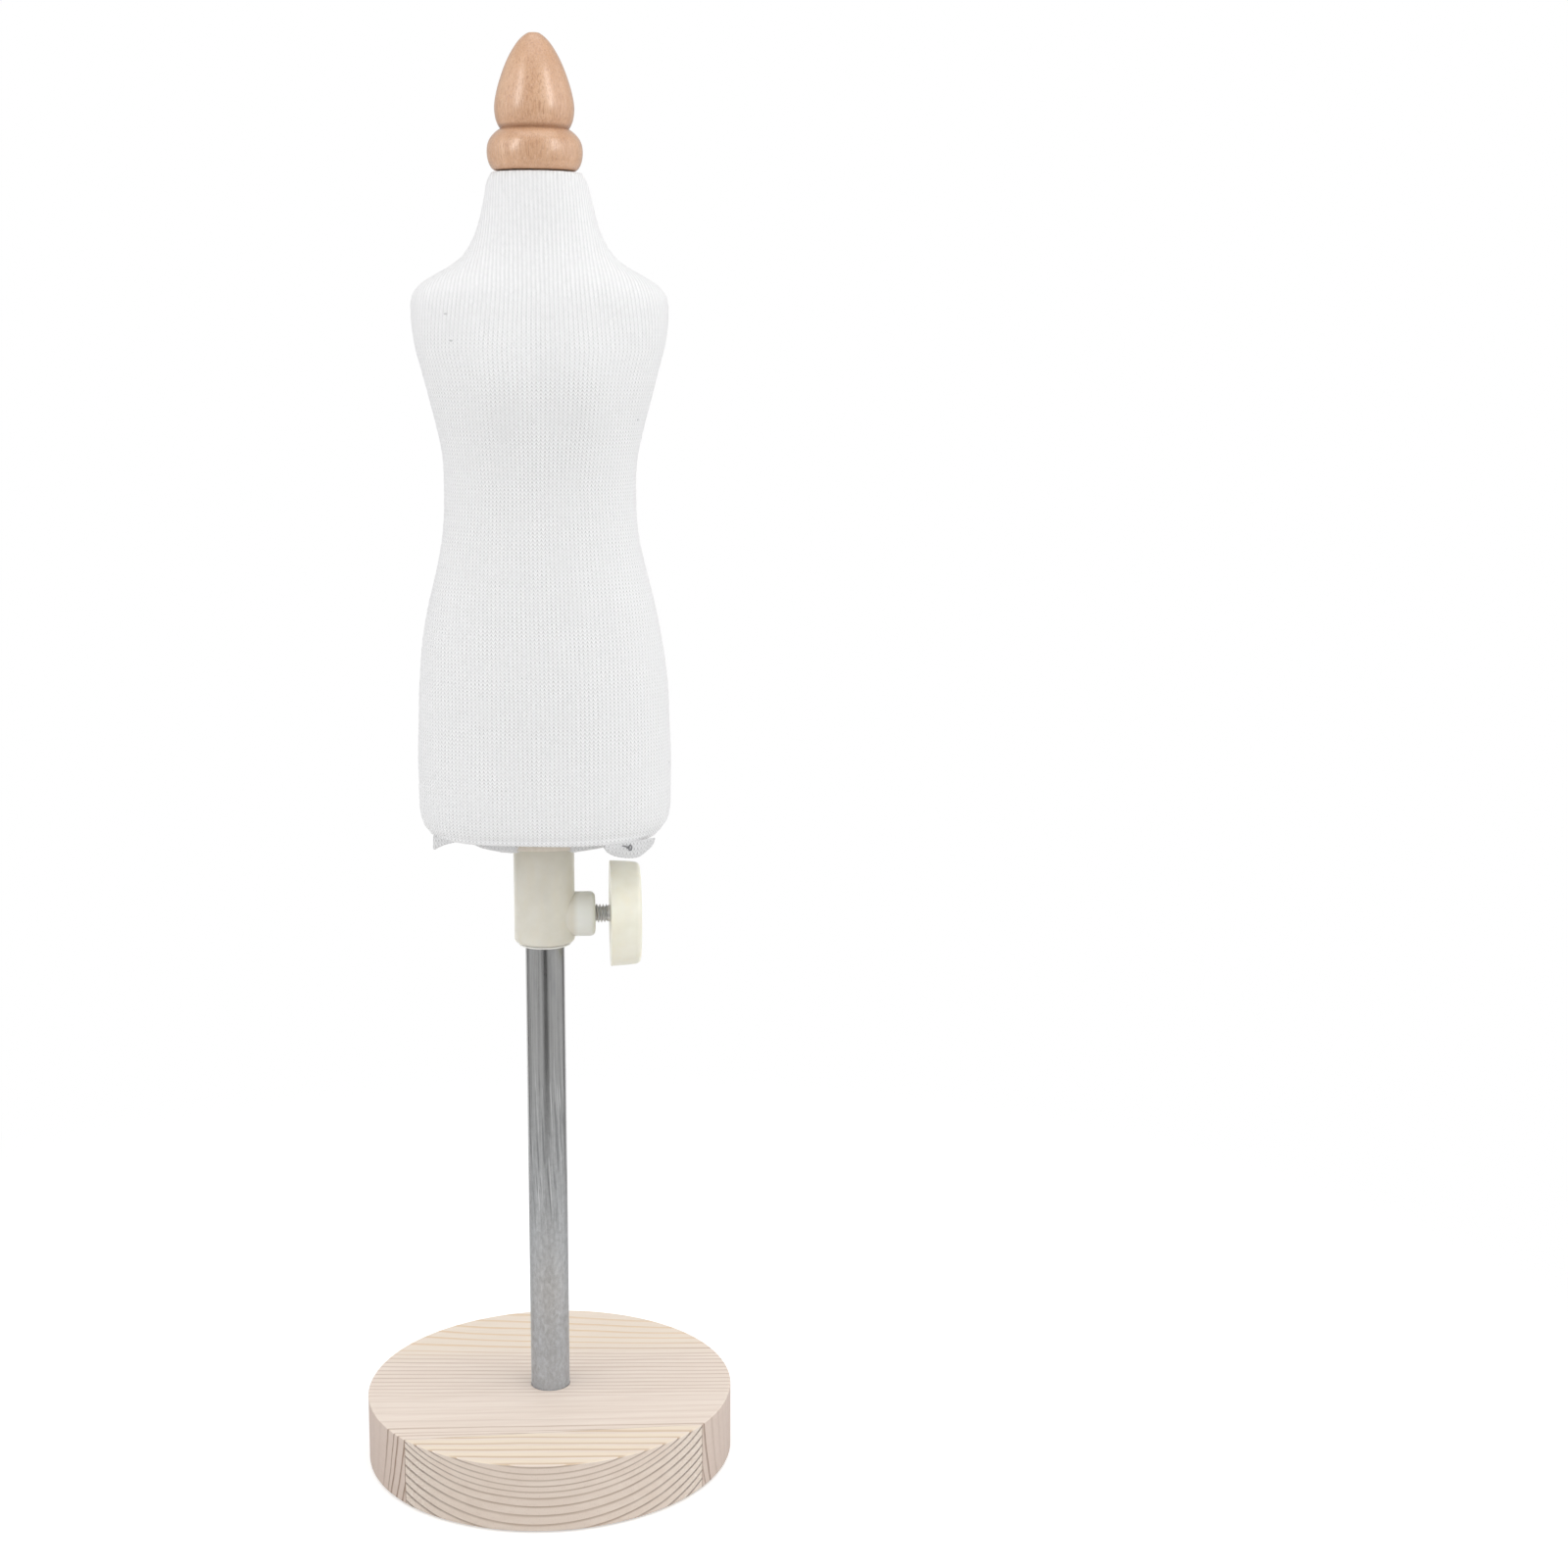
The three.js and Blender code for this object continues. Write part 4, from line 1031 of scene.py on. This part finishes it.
# ------------------------------------------------------------------ cloth pieces at the hem
def sheet(name, outline, nu, nv, thickness):
    """Closed cloth piece; outline(u, v) gives its middle surface for u, v in 0..1."""
    u, v = np.meshgrid(np.linspace(0, 1, nu), np.linspace(0, 1, nv), indexing="ij")
    middle = outline(u, v)
    normal = np.cross(np.gradient(middle, axis=0), np.gradient(middle, axis=1))
    normal /= np.linalg.norm(normal, axis=2)[..., None] + 1e-9
    edge = np.minimum(np.minimum(u, 1 - u) * nu, np.minimum(v, 1 - v) * nv)
    local = thickness * (0.55 + 0.45 * np.clip(edge / 2.0, 0, 1))
    half = normal * local[..., None] / 2
    verts = np.vstack([(middle + half).reshape(-1, 3), (middle - half).reshape(-1, 3)])
    under = nu * nv                                    # index offset of the second face
    length_u = np.linalg.norm(np.diff(middle, axis=0), axis=2).mean() * (nu - 1)
    length_v = np.linalg.norm(np.diff(middle, axis=1), axis=2).mean() * (nv - 1)
    faces, uv = [], []

    def put(face, corners):
        faces.append(face)
        uv.extend([(a * length_u / PITCH_U, b * length_v / PITCH_V) for a, b in corners])

    for i in range(nu - 1):
        for j in range(nv - 1):
            cell = [(i, j), (i + 1, j), (i + 1, j + 1), (i, j + 1)]
            quad = [a * nv + b for a, b in cell]
            corners = [(a / (nu - 1), b / (nv - 1)) for a, b in cell]
            put(quad, corners)
            put([q + under for q in quad[::-1]], corners[::-1])
    loop = ([(i, 0) for i in range(nu)] + [(nu - 1, j) for j in range(1, nv)]
            + [(i, nv - 1) for i in range(nu - 2, -1, -1)]
            + [(0, j) for j in range(nv - 2, 0, -1)])
    for here, following in zip(loop, loop[1:] + loop[:1]):
        a, b = (i * nv + j for i, j in (here, following))
        put((b, a, a + under, b + under), [(here[0] / nu, here[1] / nv)] * 4)
    return new_mesh(name, verts, faces, sharp_deg=80, uv=uv)


# the tab hangs at the front of the +X side: its centre in plan, its run and its outward way
TAB_CENTRE = np.array([26.9, -17.8])
TAB_ANGLE = math.radians(30)
TAB_ALONG = np.array([math.cos(TAB_ANGLE), math.sin(TAB_ANGLE)])
TAB_OUT = np.array([math.sin(TAB_ANGLE), -math.cos(TAB_ANGLE)])
# place along the tab, height of its lower edge
TAB_EDGE = np.array([
    (-9.5, 209.3), (-8.4, 207.7), (-7.2, 206.85), (-5.7, 206.1), (-3.9, 205.5), (-1.8, 205.0),
    (0.8, 204.65), (2.6, 204.65), (4.0, 205.05), (5.2, 205.6), (6.6, 206.5), (7.8, 207.35),
    (8.8, 208.6), (9.1, 209.3)])
# place along the tab, height, distance outwards
PIN_PATH = [
    (-3.5, 209.15, 0.9), (-2.7, 209.0, 1.2), (-1.9, 208.75, 1.3), (-1.3, 208.75, 1.3),
    (-0.75, 209.1, 1.3), (-0.3, 208.8, 1.3), (-0.15, 208.2, 1.3), (-0.45, 207.6, 1.3),
    (-0.95, 207.55, 1.3), (-1.2, 208.0, 1.3), (-1.05, 208.45, 1.25), (-1.7, 208.3, 1.15),
    (-2.2, 208.5, 0.75)]


def tab_outline(u, v):
    along = -9.5 + 18.6 * u
    bottom = np.interp(along, TAB_EDGE[:, 0], TAB_EDGE[:, 1])
    top = 210.9 - 0.9 * u
    z = top + (bottom - top) * v
    bulge = (0.75 * np.sin(np.pi * u) * np.sin(np.pi * np.clip(v * 0.8 + 0.1, 0, 1))
             - 0.5 * v ** 3 + 0.14 * np.sin(9 * u + 2) * v)
    xy = TAB_CENTRE + TAB_ALONG * along[..., None] + TAB_OUT * bulge[..., None]
    return np.concatenate([xy, z[..., None]], 2)


def ear_outline(u, v):
    left, right = np.array([-34.3, -9.6, 211.2]), np.array([-27.6, -16.4, 210.9])
    top = left + (right - left) * u[..., None]
    low_z = np.interp(u, [0, 0.06, 0.25, 0.5, 0.75, 1],
                      [206.9, 206.75, 207.7, 208.75, 209.5, 210.2])
    low_xy = (left[:2] + (right - left)[:2] * (u[..., None] * 0.97 + 0.02)
              + np.array([-0.25, -0.3]) * (1 - u[..., None]))
    low = np.concatenate([low_xy, low_z[..., None]], 2)
    points = top + (low - top) * v[..., None]
    points[..., 1] -= 0.25 * np.sin(np.pi * v) * (1 - u)
    return points


def build_tab():
    """Tongue of folded cloth hanging from the hem on a slant."""
    ob = sheet("hem_tab_cloth", tab_outline, nu=56, nv=24, thickness=1.0)
    dress(ob, KNIT, "form", "hem_tab")


def build_ear():
    """Pointed ear of cloth at the front of the hem's -X side."""
    ob = sheet("hem_ear_cloth", ear_outline, nu=28, nv=14, thickness=0.7)
    dress(ob, KNIT, "form")


def build_pin():
    """Bent wire pin through the tab: a leg and a round eye."""
    points = [(*(TAB_CENTRE + TAB_ALONG * along + TAB_OUT * lift), z)
              for along, z, lift in PIN_PATH]
    ob = sweep("tab_pin_wire", spline(points, 110), radius=0.2, sides=10)
    dress(ob, WIRE, "form", "tab_pin")


# ------------------------------------------------------------------ foam torso inside the cover
def build_foam():
    columns = 96
    angles = np.linspace(0, TURN, columns, endpoint=False)
    # height of the ring, height at which the skin is taken, inset
    stations = [(z, z + (0.4 if z > 411 else 0.7), 1.5)
                for z in (*np.linspace(412.9, 372, 44), *np.linspace(371, 216, 60))]
    stations += [(214.9, 214.9, 1.9), (213.3, 213.3, 3.4), (212.0, 212.0, 5.6)]
    rings = []
    for z, skin_z, inset in stations:
        x, y = skin_point(angles, np.full(columns, skin_z), inset)
        rings.append(np.stack([x, y, np.full(columns, z)], 1))
    # recess in the underside, then the bore up to the neck
    for radius, z in ((17, 212.0), (17, 217.0), (9.2, 217.0), (9.2, 240.0), (9.2, 412.9)):
        rings.append(np.stack([radius * np.cos(angles), radius * np.sin(angles),
                               np.full(columns, z)], 1))
    last = (len(rings) - 1) * columns
    faces = grid_faces(len(rings), columns)
    faces += [(last + j, last + (j + 1) % columns, (j + 1) % columns, j) for j in range(columns)]
    ob = new_mesh("foam_torso", np.vstack(rings), faces, sharp_deg=50)
    dress(ob, FOAM, "form", "foam_core")


# ------------------------------------------------------------------ turned and moulded pieces
def build_base():
    """Disc with a pole socket above, a bolt hole and a round recess below."""
    socket_r, bolt_r, recess_r = 6.44, 3.4, 10.5
    socket_z, recess_z = 11, 8
    profile = fillet([
        (recess_r, 0, 0), (BASE_R, 0, 0.55), (BASE_R, BASE_T, 0.5), (socket_r, BASE_T, 0.12),
        (socket_r, socket_z, 0), (bolt_r, socket_z, 0), (bolt_r, recess_z, 0),
        (recess_r, recess_z, 0)], steps=5)
    ob = lathe("base_board", profile, segments=288, sharp_deg=30)
    dress(ob, PINE, "stand", "base_disc")


def build_pole():
    bore_r = POLE_R - 1.5
    profile = fillet([
        (bore_r, POLE_Z0, 0), (POLE_R, POLE_Z0, 0.3), (POLE_R, POLE_Z1, 0.45),
        (bore_r, POLE_Z1, 0.3), (bore_r, POLE_Z0 + 0.01, 0)], steps=4)
    ob = lathe("pole_tube", profile, segments=128, sharp_deg=40)
    dress(ob, TUBE, "stand", "pole")


# radius, height above the finial's foot
FINIAL_BEAD = [
    (11.3, 0), (12.2, 0.12), (12.9, 0.55), (13.6, 1.5), (14.15, 2.9), (14.45, 4.5), (14.5, 6.0),
    (14.3, 7.6), (13.75, 9.1), (12.9, 10.3), (11.8, 11.4), (10.75, 12.15)]
FINIAL_EGG = [
    (10.62, 12.75), (11.15, 13.7), (11.7, 15.2), (12.02, 17.2), (12.05, 19.2), (11.75, 21.4),
    (11.1, 24.2), (10.2, 27.1), (9.15, 30.0), (7.75, 33.1), (6.2, 35.8), (4.7, 37.9),
    (3.3, 39.3), (2.35, 40.0)]


def build_finial():
    """Bead and egg with a groove between them, bored from below."""
    foot, top = float(finial_lo[2]), float(finial_hi[2])
    bore_r = 2.8
    bead = [(radius, foot + height) for radius, height in FINIAL_BEAD]
    egg = [(radius, foot + height) for radius, height in FINIAL_EGG]
    profile = [
        (0.0, foot + 22.5), (bore_r, foot + 22.4), (bore_r, foot),
        *spline(bead, 46), (10.36, foot + 12.42), *spline(egg, 72),
        (2.0, top - 0.28), (1.6, top - 0.1), (1.0, top - 0.02), (0.0, top)]
    ob = lathe("finial_turned", profile, segments=144, sharp_deg=42)
    dress(ob, BEECH, "form", "finial")


def build_collar():
    """Sleeve on the pole with a flange on top and a boss for the screw towards +X."""
    bottom, top = float(collar_lo[2]), float(collar_hi[2])
    sleeve_r, bore_r, flange_r, flange_z = 9.7, 7.9, 16, 212.0
    boss_r, boss_start, boss_end = 7.2, 3, 16.2
    screw_hole_r, screw_circle_r = 1.5, 12.9
    ob = lathe("collar_moulding", fillet([
        (0, bottom, 0), (sleeve_r, bottom, 1.1), (sleeve_r, flange_z, 0.3),
        (flange_r, flange_z, 0.3), (flange_r, top, 0.4), (0, top, 0)], steps=8),
        segments=128, sharp_deg=30)
    on_clamp_axis = {"axis": "X", "origin": (0, 0, CLAMP_Z)}
    boss = fillet([(0, boss_start, 0), (boss_r, boss_start, 0.3), (boss_r, boss_end, 1.7),
                   (0, boss_end, 0)], steps=10)
    boolean(ob, lathe("boss_tool", boss, segments=96, **on_clamp_axis), "UNION")
    bore = rod(bore_r, bottom - 5, top + 5)
    boolean(ob, lathe("bore_tool", bore, segments=128), "DIFFERENCE")
    lead = [(0, bottom - 1), (bore_r + 1.2, bottom - 1), (bore_r + 0.35, bottom + 0.15),
            (bore_r - 0.5, bottom + 1.0), (0, bottom + 1.0)]
    boolean(ob, lathe("lead_tool", lead, segments=128), "DIFFERENCE")
    # stepped hole through the boss
    cross = [(0, 4), (3.4, 4), (3.4, 12.6), (4.6, 12.6), (4.6, 18), (0, 18)]
    boolean(ob, lathe("cross_tool", cross, segments=64, **on_clamp_axis), "DIFFERENCE")
    for degrees in (90, 210, 330):
        angle = math.radians(degrees)
        centre = (screw_circle_r * math.cos(angle), screw_circle_r * math.sin(angle), 0)
        hole = lathe("hole_tool", rod(screw_hole_r, 210, 216), segments=24, origin=centre)
        boolean(ob, hole, "DIFFERENCE")
    shade_smooth(ob.data, 30)
    dress(ob, IVORY_SHADED, "form", "collar")


def build_bush():
    """Flanged guide bush, slit on the back side."""
    bottom, top = float(bush_lo[2]), float(bush_hi[2])
    bore_r, body_r, flange_r, flange_t = 6.6, 7.6, 8.4, 0.6
    profile = fillet([
        (bore_r, bottom + 0.02, 0), (flange_r, bottom, 0.22), (flange_r, bottom + flange_t, 0.22),
        (body_r, bottom + flange_t, 0), (body_r, top, 0.2), (bore_r, top, 0.2),
        (bore_r, bottom + 0.03, 0)], steps=4)
    ob = lathe("guide_bush_split", profile, segments=96, sharp_deg=40)
    corners = [(x, y, z) for x in (-0.6, 0.6) for y in (4, 10) for z in (bottom - 1, top + 1)]
    slit = new_mesh("slit_tool", corners, [(0, 1, 3, 2), (4, 6, 7, 5), (0, 4, 5, 1),
                                           (2, 3, 7, 6), (0, 2, 6, 4), (1, 5, 7, 3)])
    boolean(ob, slit, "DIFFERENCE")
    shade_smooth(ob.data, 35)
    dress(ob, NYLON, "slider", "guide_bush")


def build_stud():
    """Clamp screw along X: plain tip, helical thread, plain neck into the knob."""
    segments = 72
    angles = np.linspace(0, TURN, segments, endpoint=False)
    pitch, root_r, thread_depth = 1.0, 2.22, 0.78
    thread_start, thread_end = 12.6, 20.25
    stations = np.concatenate([
        [9.8, 9.82, 10.1, 12.3], np.arange(thread_start, 20.21, 0.085),
        [20.3, 20.35, 20.5, 26.9, 27.0]])
    verts = []
    for x in stations:
        if x < thread_start:
            radius = np.full(segments, 2.1 if x < 9.81 else 2.35)
        elif x > thread_end:
            radius = np.full(segments, 2.7 if x < 26.95 else 2.45)
        else:
            triangle = 1 - np.abs((x - angles / TURN) % pitch * 2 - 1)
            crest = np.clip((triangle - 0.12) / 0.66, 0, 1)
            fade = float(smoothstep(thread_start, 13.4, x)
                         * (1 - smoothstep(19.9, thread_end, x)))
            runout = 0.3 * (1 - fade) if x > 19 else 0.0
            radius = root_r + thread_depth * crest * fade + runout
        verts.extend(zip([x] * segments, radius * np.cos(angles),
                         radius * np.sin(angles) + CLAMP_Z))
    faces = grid_faces(len(stations), segments)
    tip, end, last = len(verts), len(verts) + 1, len(verts) - segments
    verts += [(stations[0], 0, CLAMP_Z), (stations[-1], 0, CLAMP_Z)]
    faces += [(tip, (j + 1) % segments, j) for j in range(segments)]
    faces += [(end, last + j, last + (j + 1) % segments) for j in range(segments)]
    ob = new_mesh("clamp_screw_stud", verts, faces, sharp_deg=48)
    dress(ob, ZINC, "clamp_screw", "clamp_stud")


def build_knob():
    """Thumb knob: sharp inner rim, slight taper, rounded outer rim and a dished face."""
    inner, outer = float(knob_lo[0]), float(knob_hi[0]) - 0.6
    rim_r = float(knob_hi[2] - CLAMP_Z)
    rounding, taper = 1.8, 0.52
    profile = [
        (0, inner + 7.2), (3.0, inner + 7.2), (3.0, inner + 0.25), (3.2, inner + 0.05),
        (3.5, inner), (8.6, inner), (8.9, inner + 0.12), (9.7, inner + 0.12), (10.0, inner),
        (rim_r - 1.2, inner), (rim_r - 0.14, inner), (rim_r - 0.03, inner + 0.05),
        (rim_r, inner + 0.2), (rim_r - 0.12, inner + 3), (rim_r - 0.3, inner + 6),
        (rim_r - taper, outer - rounding)]
    for k in range(1, 11):
        angle = math.radians(90 * k / 10)
        profile.append((rim_r - taper - rounding * (1 - math.cos(angle)),
                        outer - rounding + rounding * math.sin(angle)))
    profile += [
        (rim_r - 4.2, outer), (rim_r - 5.0, outer - 0.05), (rim_r - 5.6, outer - 0.35),
        (rim_r - 6.3, outer - 0.72), (rim_r - 7.2, outer - 0.8), (2.6, outer - 0.8),
        (0, outer - 0.8)]
    ob = lathe("clamp_knob_moulding", profile, segments=160, axis="X", origin=(0, 0, CLAMP_Z),
               sharp_deg=38)
    dress(ob, IVORY_KNOB_LIT, "clamp_screw", "clamp_knob")


def dress_cad_pieces():
    """CAD pieces that keep their shape take real materials; zinc unless listed."""
    materials = {
        "pole_end_cap": CAP, "thread_insert": BRASS, "bottom_plate": BOARD, "bore_liner": CARD,
        "neck_plug": BOARD, "finial_dowel": DOWEL, "clamp_pad": NYLON,
    }
    for name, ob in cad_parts.items():
        if ob.hide_render:
            continue
        material = materials.get(name, ZINC)
        if len(ob.material_slots) == 0:
            ob.data.materials.append(material)
        for slot in ob.material_slots:
            slot.material = material


# ------------------------------------------------------------------ studio, in metres
# name, degrees from the front towards +X, distance, height, size, power, the rays that see it
LIGHTS = [
    ("strip_right", 50, 1.20, 0.90, (0.30, 1.0), 6.6, "glossy"),
    ("strip_left", -50, 1.20, 0.90, (0.28, 1.0), 5.6, "glossy"),
    ("fill_right", 42, 1.25, 0.72, (1.1, 1.1), 3.0, "diffuse"),
    ("fill_left", -46, 1.25, 0.72, (1.1, 1.1), 3.0, "diffuse"),
    ("panel_right", 84, 1.15, 0.62, (1.0, 1.1), 3.7, "both"),
    ("panel_left", -84, 1.15, 0.62, (1.0, 1.1), 2.9, "both"),
]


def area_light(name, location, target, size, power):
    data = bpy.data.lights.new(name, "AREA")
    data.shape, data.size, data.size_y, data.energy = "RECTANGLE", *size, power
    ob = bpy.data.objects.new(name, data)
    scene.collection.objects.link(ob)
    ob.location = location
    aim = Vector(target) - Vector(location)
    ob.rotation_euler = aim.to_track_quat("-Z", "Y").to_euler()
    return ob


def build_lights():
    for name, degrees, distance, height, size, power, seen_by in LIGHTS:
        angle = math.radians(degrees)
        location = (distance * math.sin(angle), -distance * math.cos(angle), height)
        ob = area_light(name, location, (0, 0, 0.27), size, power)
        if seen_by == "glossy":
            ob.visible_diffuse = False
        if seen_by == "diffuse":
            ob.visible_glossy = False
    area_light("top", (0.05, -0.15, 1.5), (0, 0, 0.1), size=(1.1, 1.1), power=4.4)


def flat_panel(name, corners):
    mesh = bpy.data.meshes.new(name)
    mesh.from_pydata(corners, [], [(0, 1, 2, 3)])
    ob = bpy.data.objects.new(name, mesh)
    scene.collection.objects.link(ob)
    return ob


def card(name, corners, brightness):
    """Flag or reflector that only reflections see."""
    ob = flat_panel(name, corners)
    mat = new_graph(name)
    emission = mat.node("Emission", {0: (brightness, brightness, brightness)})
    ob.data.materials.append(mat.output("Material", emission))
    ob.visible_camera = ob.visible_diffuse = False
    ob.visible_shadow = ob.visible_transmission = False


def behind(side, radius, degrees):
    """Plan position behind the form, degrees from +Y towards the given side of X."""
    angle = math.radians(degrees)
    return side * radius * math.sin(angle), radius * math.cos(angle)


def back_card(name, side, start, end, top, brightness, radius):
    """Upright card between two bearings behind the form."""
    first, last = behind(side, radius, start), behind(side, radius, end)
    card(name, [(*first, 0.0), (*last, 0.0), (*last, top), (*first, top)], brightness)


def build_cards():
    """Dark lines and bright areas for the tube to reflect."""
    half, y, top = 0.058, -0.29, 0.16
    card("flag_front", [(-half, y, 0.0), (half, y, 0.0), (half, y, top), (-half, y, top)],
         brightness=0.02)
    flag_r, floor_inner_r, lift = 0.262, 0.135, 0.0006
    for name, side, start in (("flag_back_l", -1, 47), ("flag_back_r", 1, 44)):
        back_card(name, side, start, 62, top=0.22, brightness=0.02, radius=flag_r)
    for name, side, start, end in (("flag_floor_l", -1, 49, 60), ("flag_floor_r", 1, 47, 61)):
        outline = ((floor_inner_r, start + 3), (flag_r, start), (flag_r, end),
                   (floor_inner_r, end - 3))
        card(name, [(*behind(side, radius, degrees), lift) for radius, degrees in outline],
             brightness=0.05)
    for number, (start, end) in enumerate(((2, 24), (24, 43))):
        for letter, side, extra in (("l", -1, 3), ("r", 1, 0)):
            back_card("card_back_%s%d" % (letter, number), side, start, end + extra,
                      top=0.24, brightness=1.5, radius=0.27)


def build_floor():
    """White floor that fades into the white surroundings away from the base."""
    half, z = 12.0, -0.0006
    floor = flat_panel("floor", [(-half, -half, z), (half, -half, z), (half, half, z),
                                 (-half, half, z)])
    mat = new_graph("floor_white")
    camera_ray = mat.camera_ray()
    surface = mat.surface(color=(0.82, 0.82, 0.82), rough=0.9, spec=0.0,
                          emission=(1, 1, 1), emission_strength=camera_ray * 0.42)
    x, y, _ = mat.split(mat.coord())
    distance = mat.node("VectorMath", {0: mat.join(x, y)}, out=1, operation="LENGTH")
    far = distance.rise(0.10, 0.42)
    shader = mat.node("MixShader", {0: camera_ray * far, 1: surface,
                                    2: mat.node("Emission", {})})
    floor.data.materials.append(mat.output("Material", shader))


def build_world():
    """White to the camera, dimmer as a light."""
    world = bpy.data.worlds.new("studio")
    scene.world = world
    graph = Graph(world)
    strength = graph.camera_ray().lerp(0.55, 1.0)
    graph.output("World", graph.node("Background", {0: (1, 1, 1), 1: strength}))


def build_camera():
    distance, height = 754.17575 * MM, 367.72889 * MM
    yaw, pitch, roll = 0.10183, 0.18701, 0.00608        # radians
    cos_yaw, sin_yaw = math.cos(yaw), math.sin(yaw)
    cos_pitch, sin_pitch = math.cos(pitch), math.sin(pitch)
    cos_roll, sin_roll = math.cos(roll), math.sin(roll)
    forward = np.array([sin_yaw * cos_pitch, cos_yaw * cos_pitch, -sin_pitch])
    level = np.array([cos_yaw, -sin_yaw, 0.0])
    upright = np.cross(level, forward)
    right = cos_roll * level + sin_roll * upright
    up = -sin_roll * level + cos_roll * upright
    data = bpy.data.cameras.new("camera")
    data.sensor_width, data.lens = 36.0, 55.125
    data.clip_start, data.clip_end = 0.01, 50
    camera = bpy.data.objects.new("camera", data)
    scene.collection.objects.link(camera)
    matrix = Matrix.Identity(4)
    for i, place in enumerate((0.0, -distance, height)):
        matrix[i] = (right[i], up[i], -forward[i], place)
    camera.matrix_world = matrix
    scene.camera = camera


build_cover()
build_tab()
build_ear()
build_pin()
build_foam()
build_base()
build_pole()
build_finial()
build_collar()
build_bush()
build_stud()
build_knob()
dress_cad_pieces()

build_floor()
build_world()
build_lights()
build_cards()
build_camera()
scene.view_settings.view_transform = "Standard"
scene.view_settings.look = "None"
scene.view_settings.exposure = 0.0
scene.view_settings.gamma = 1.0
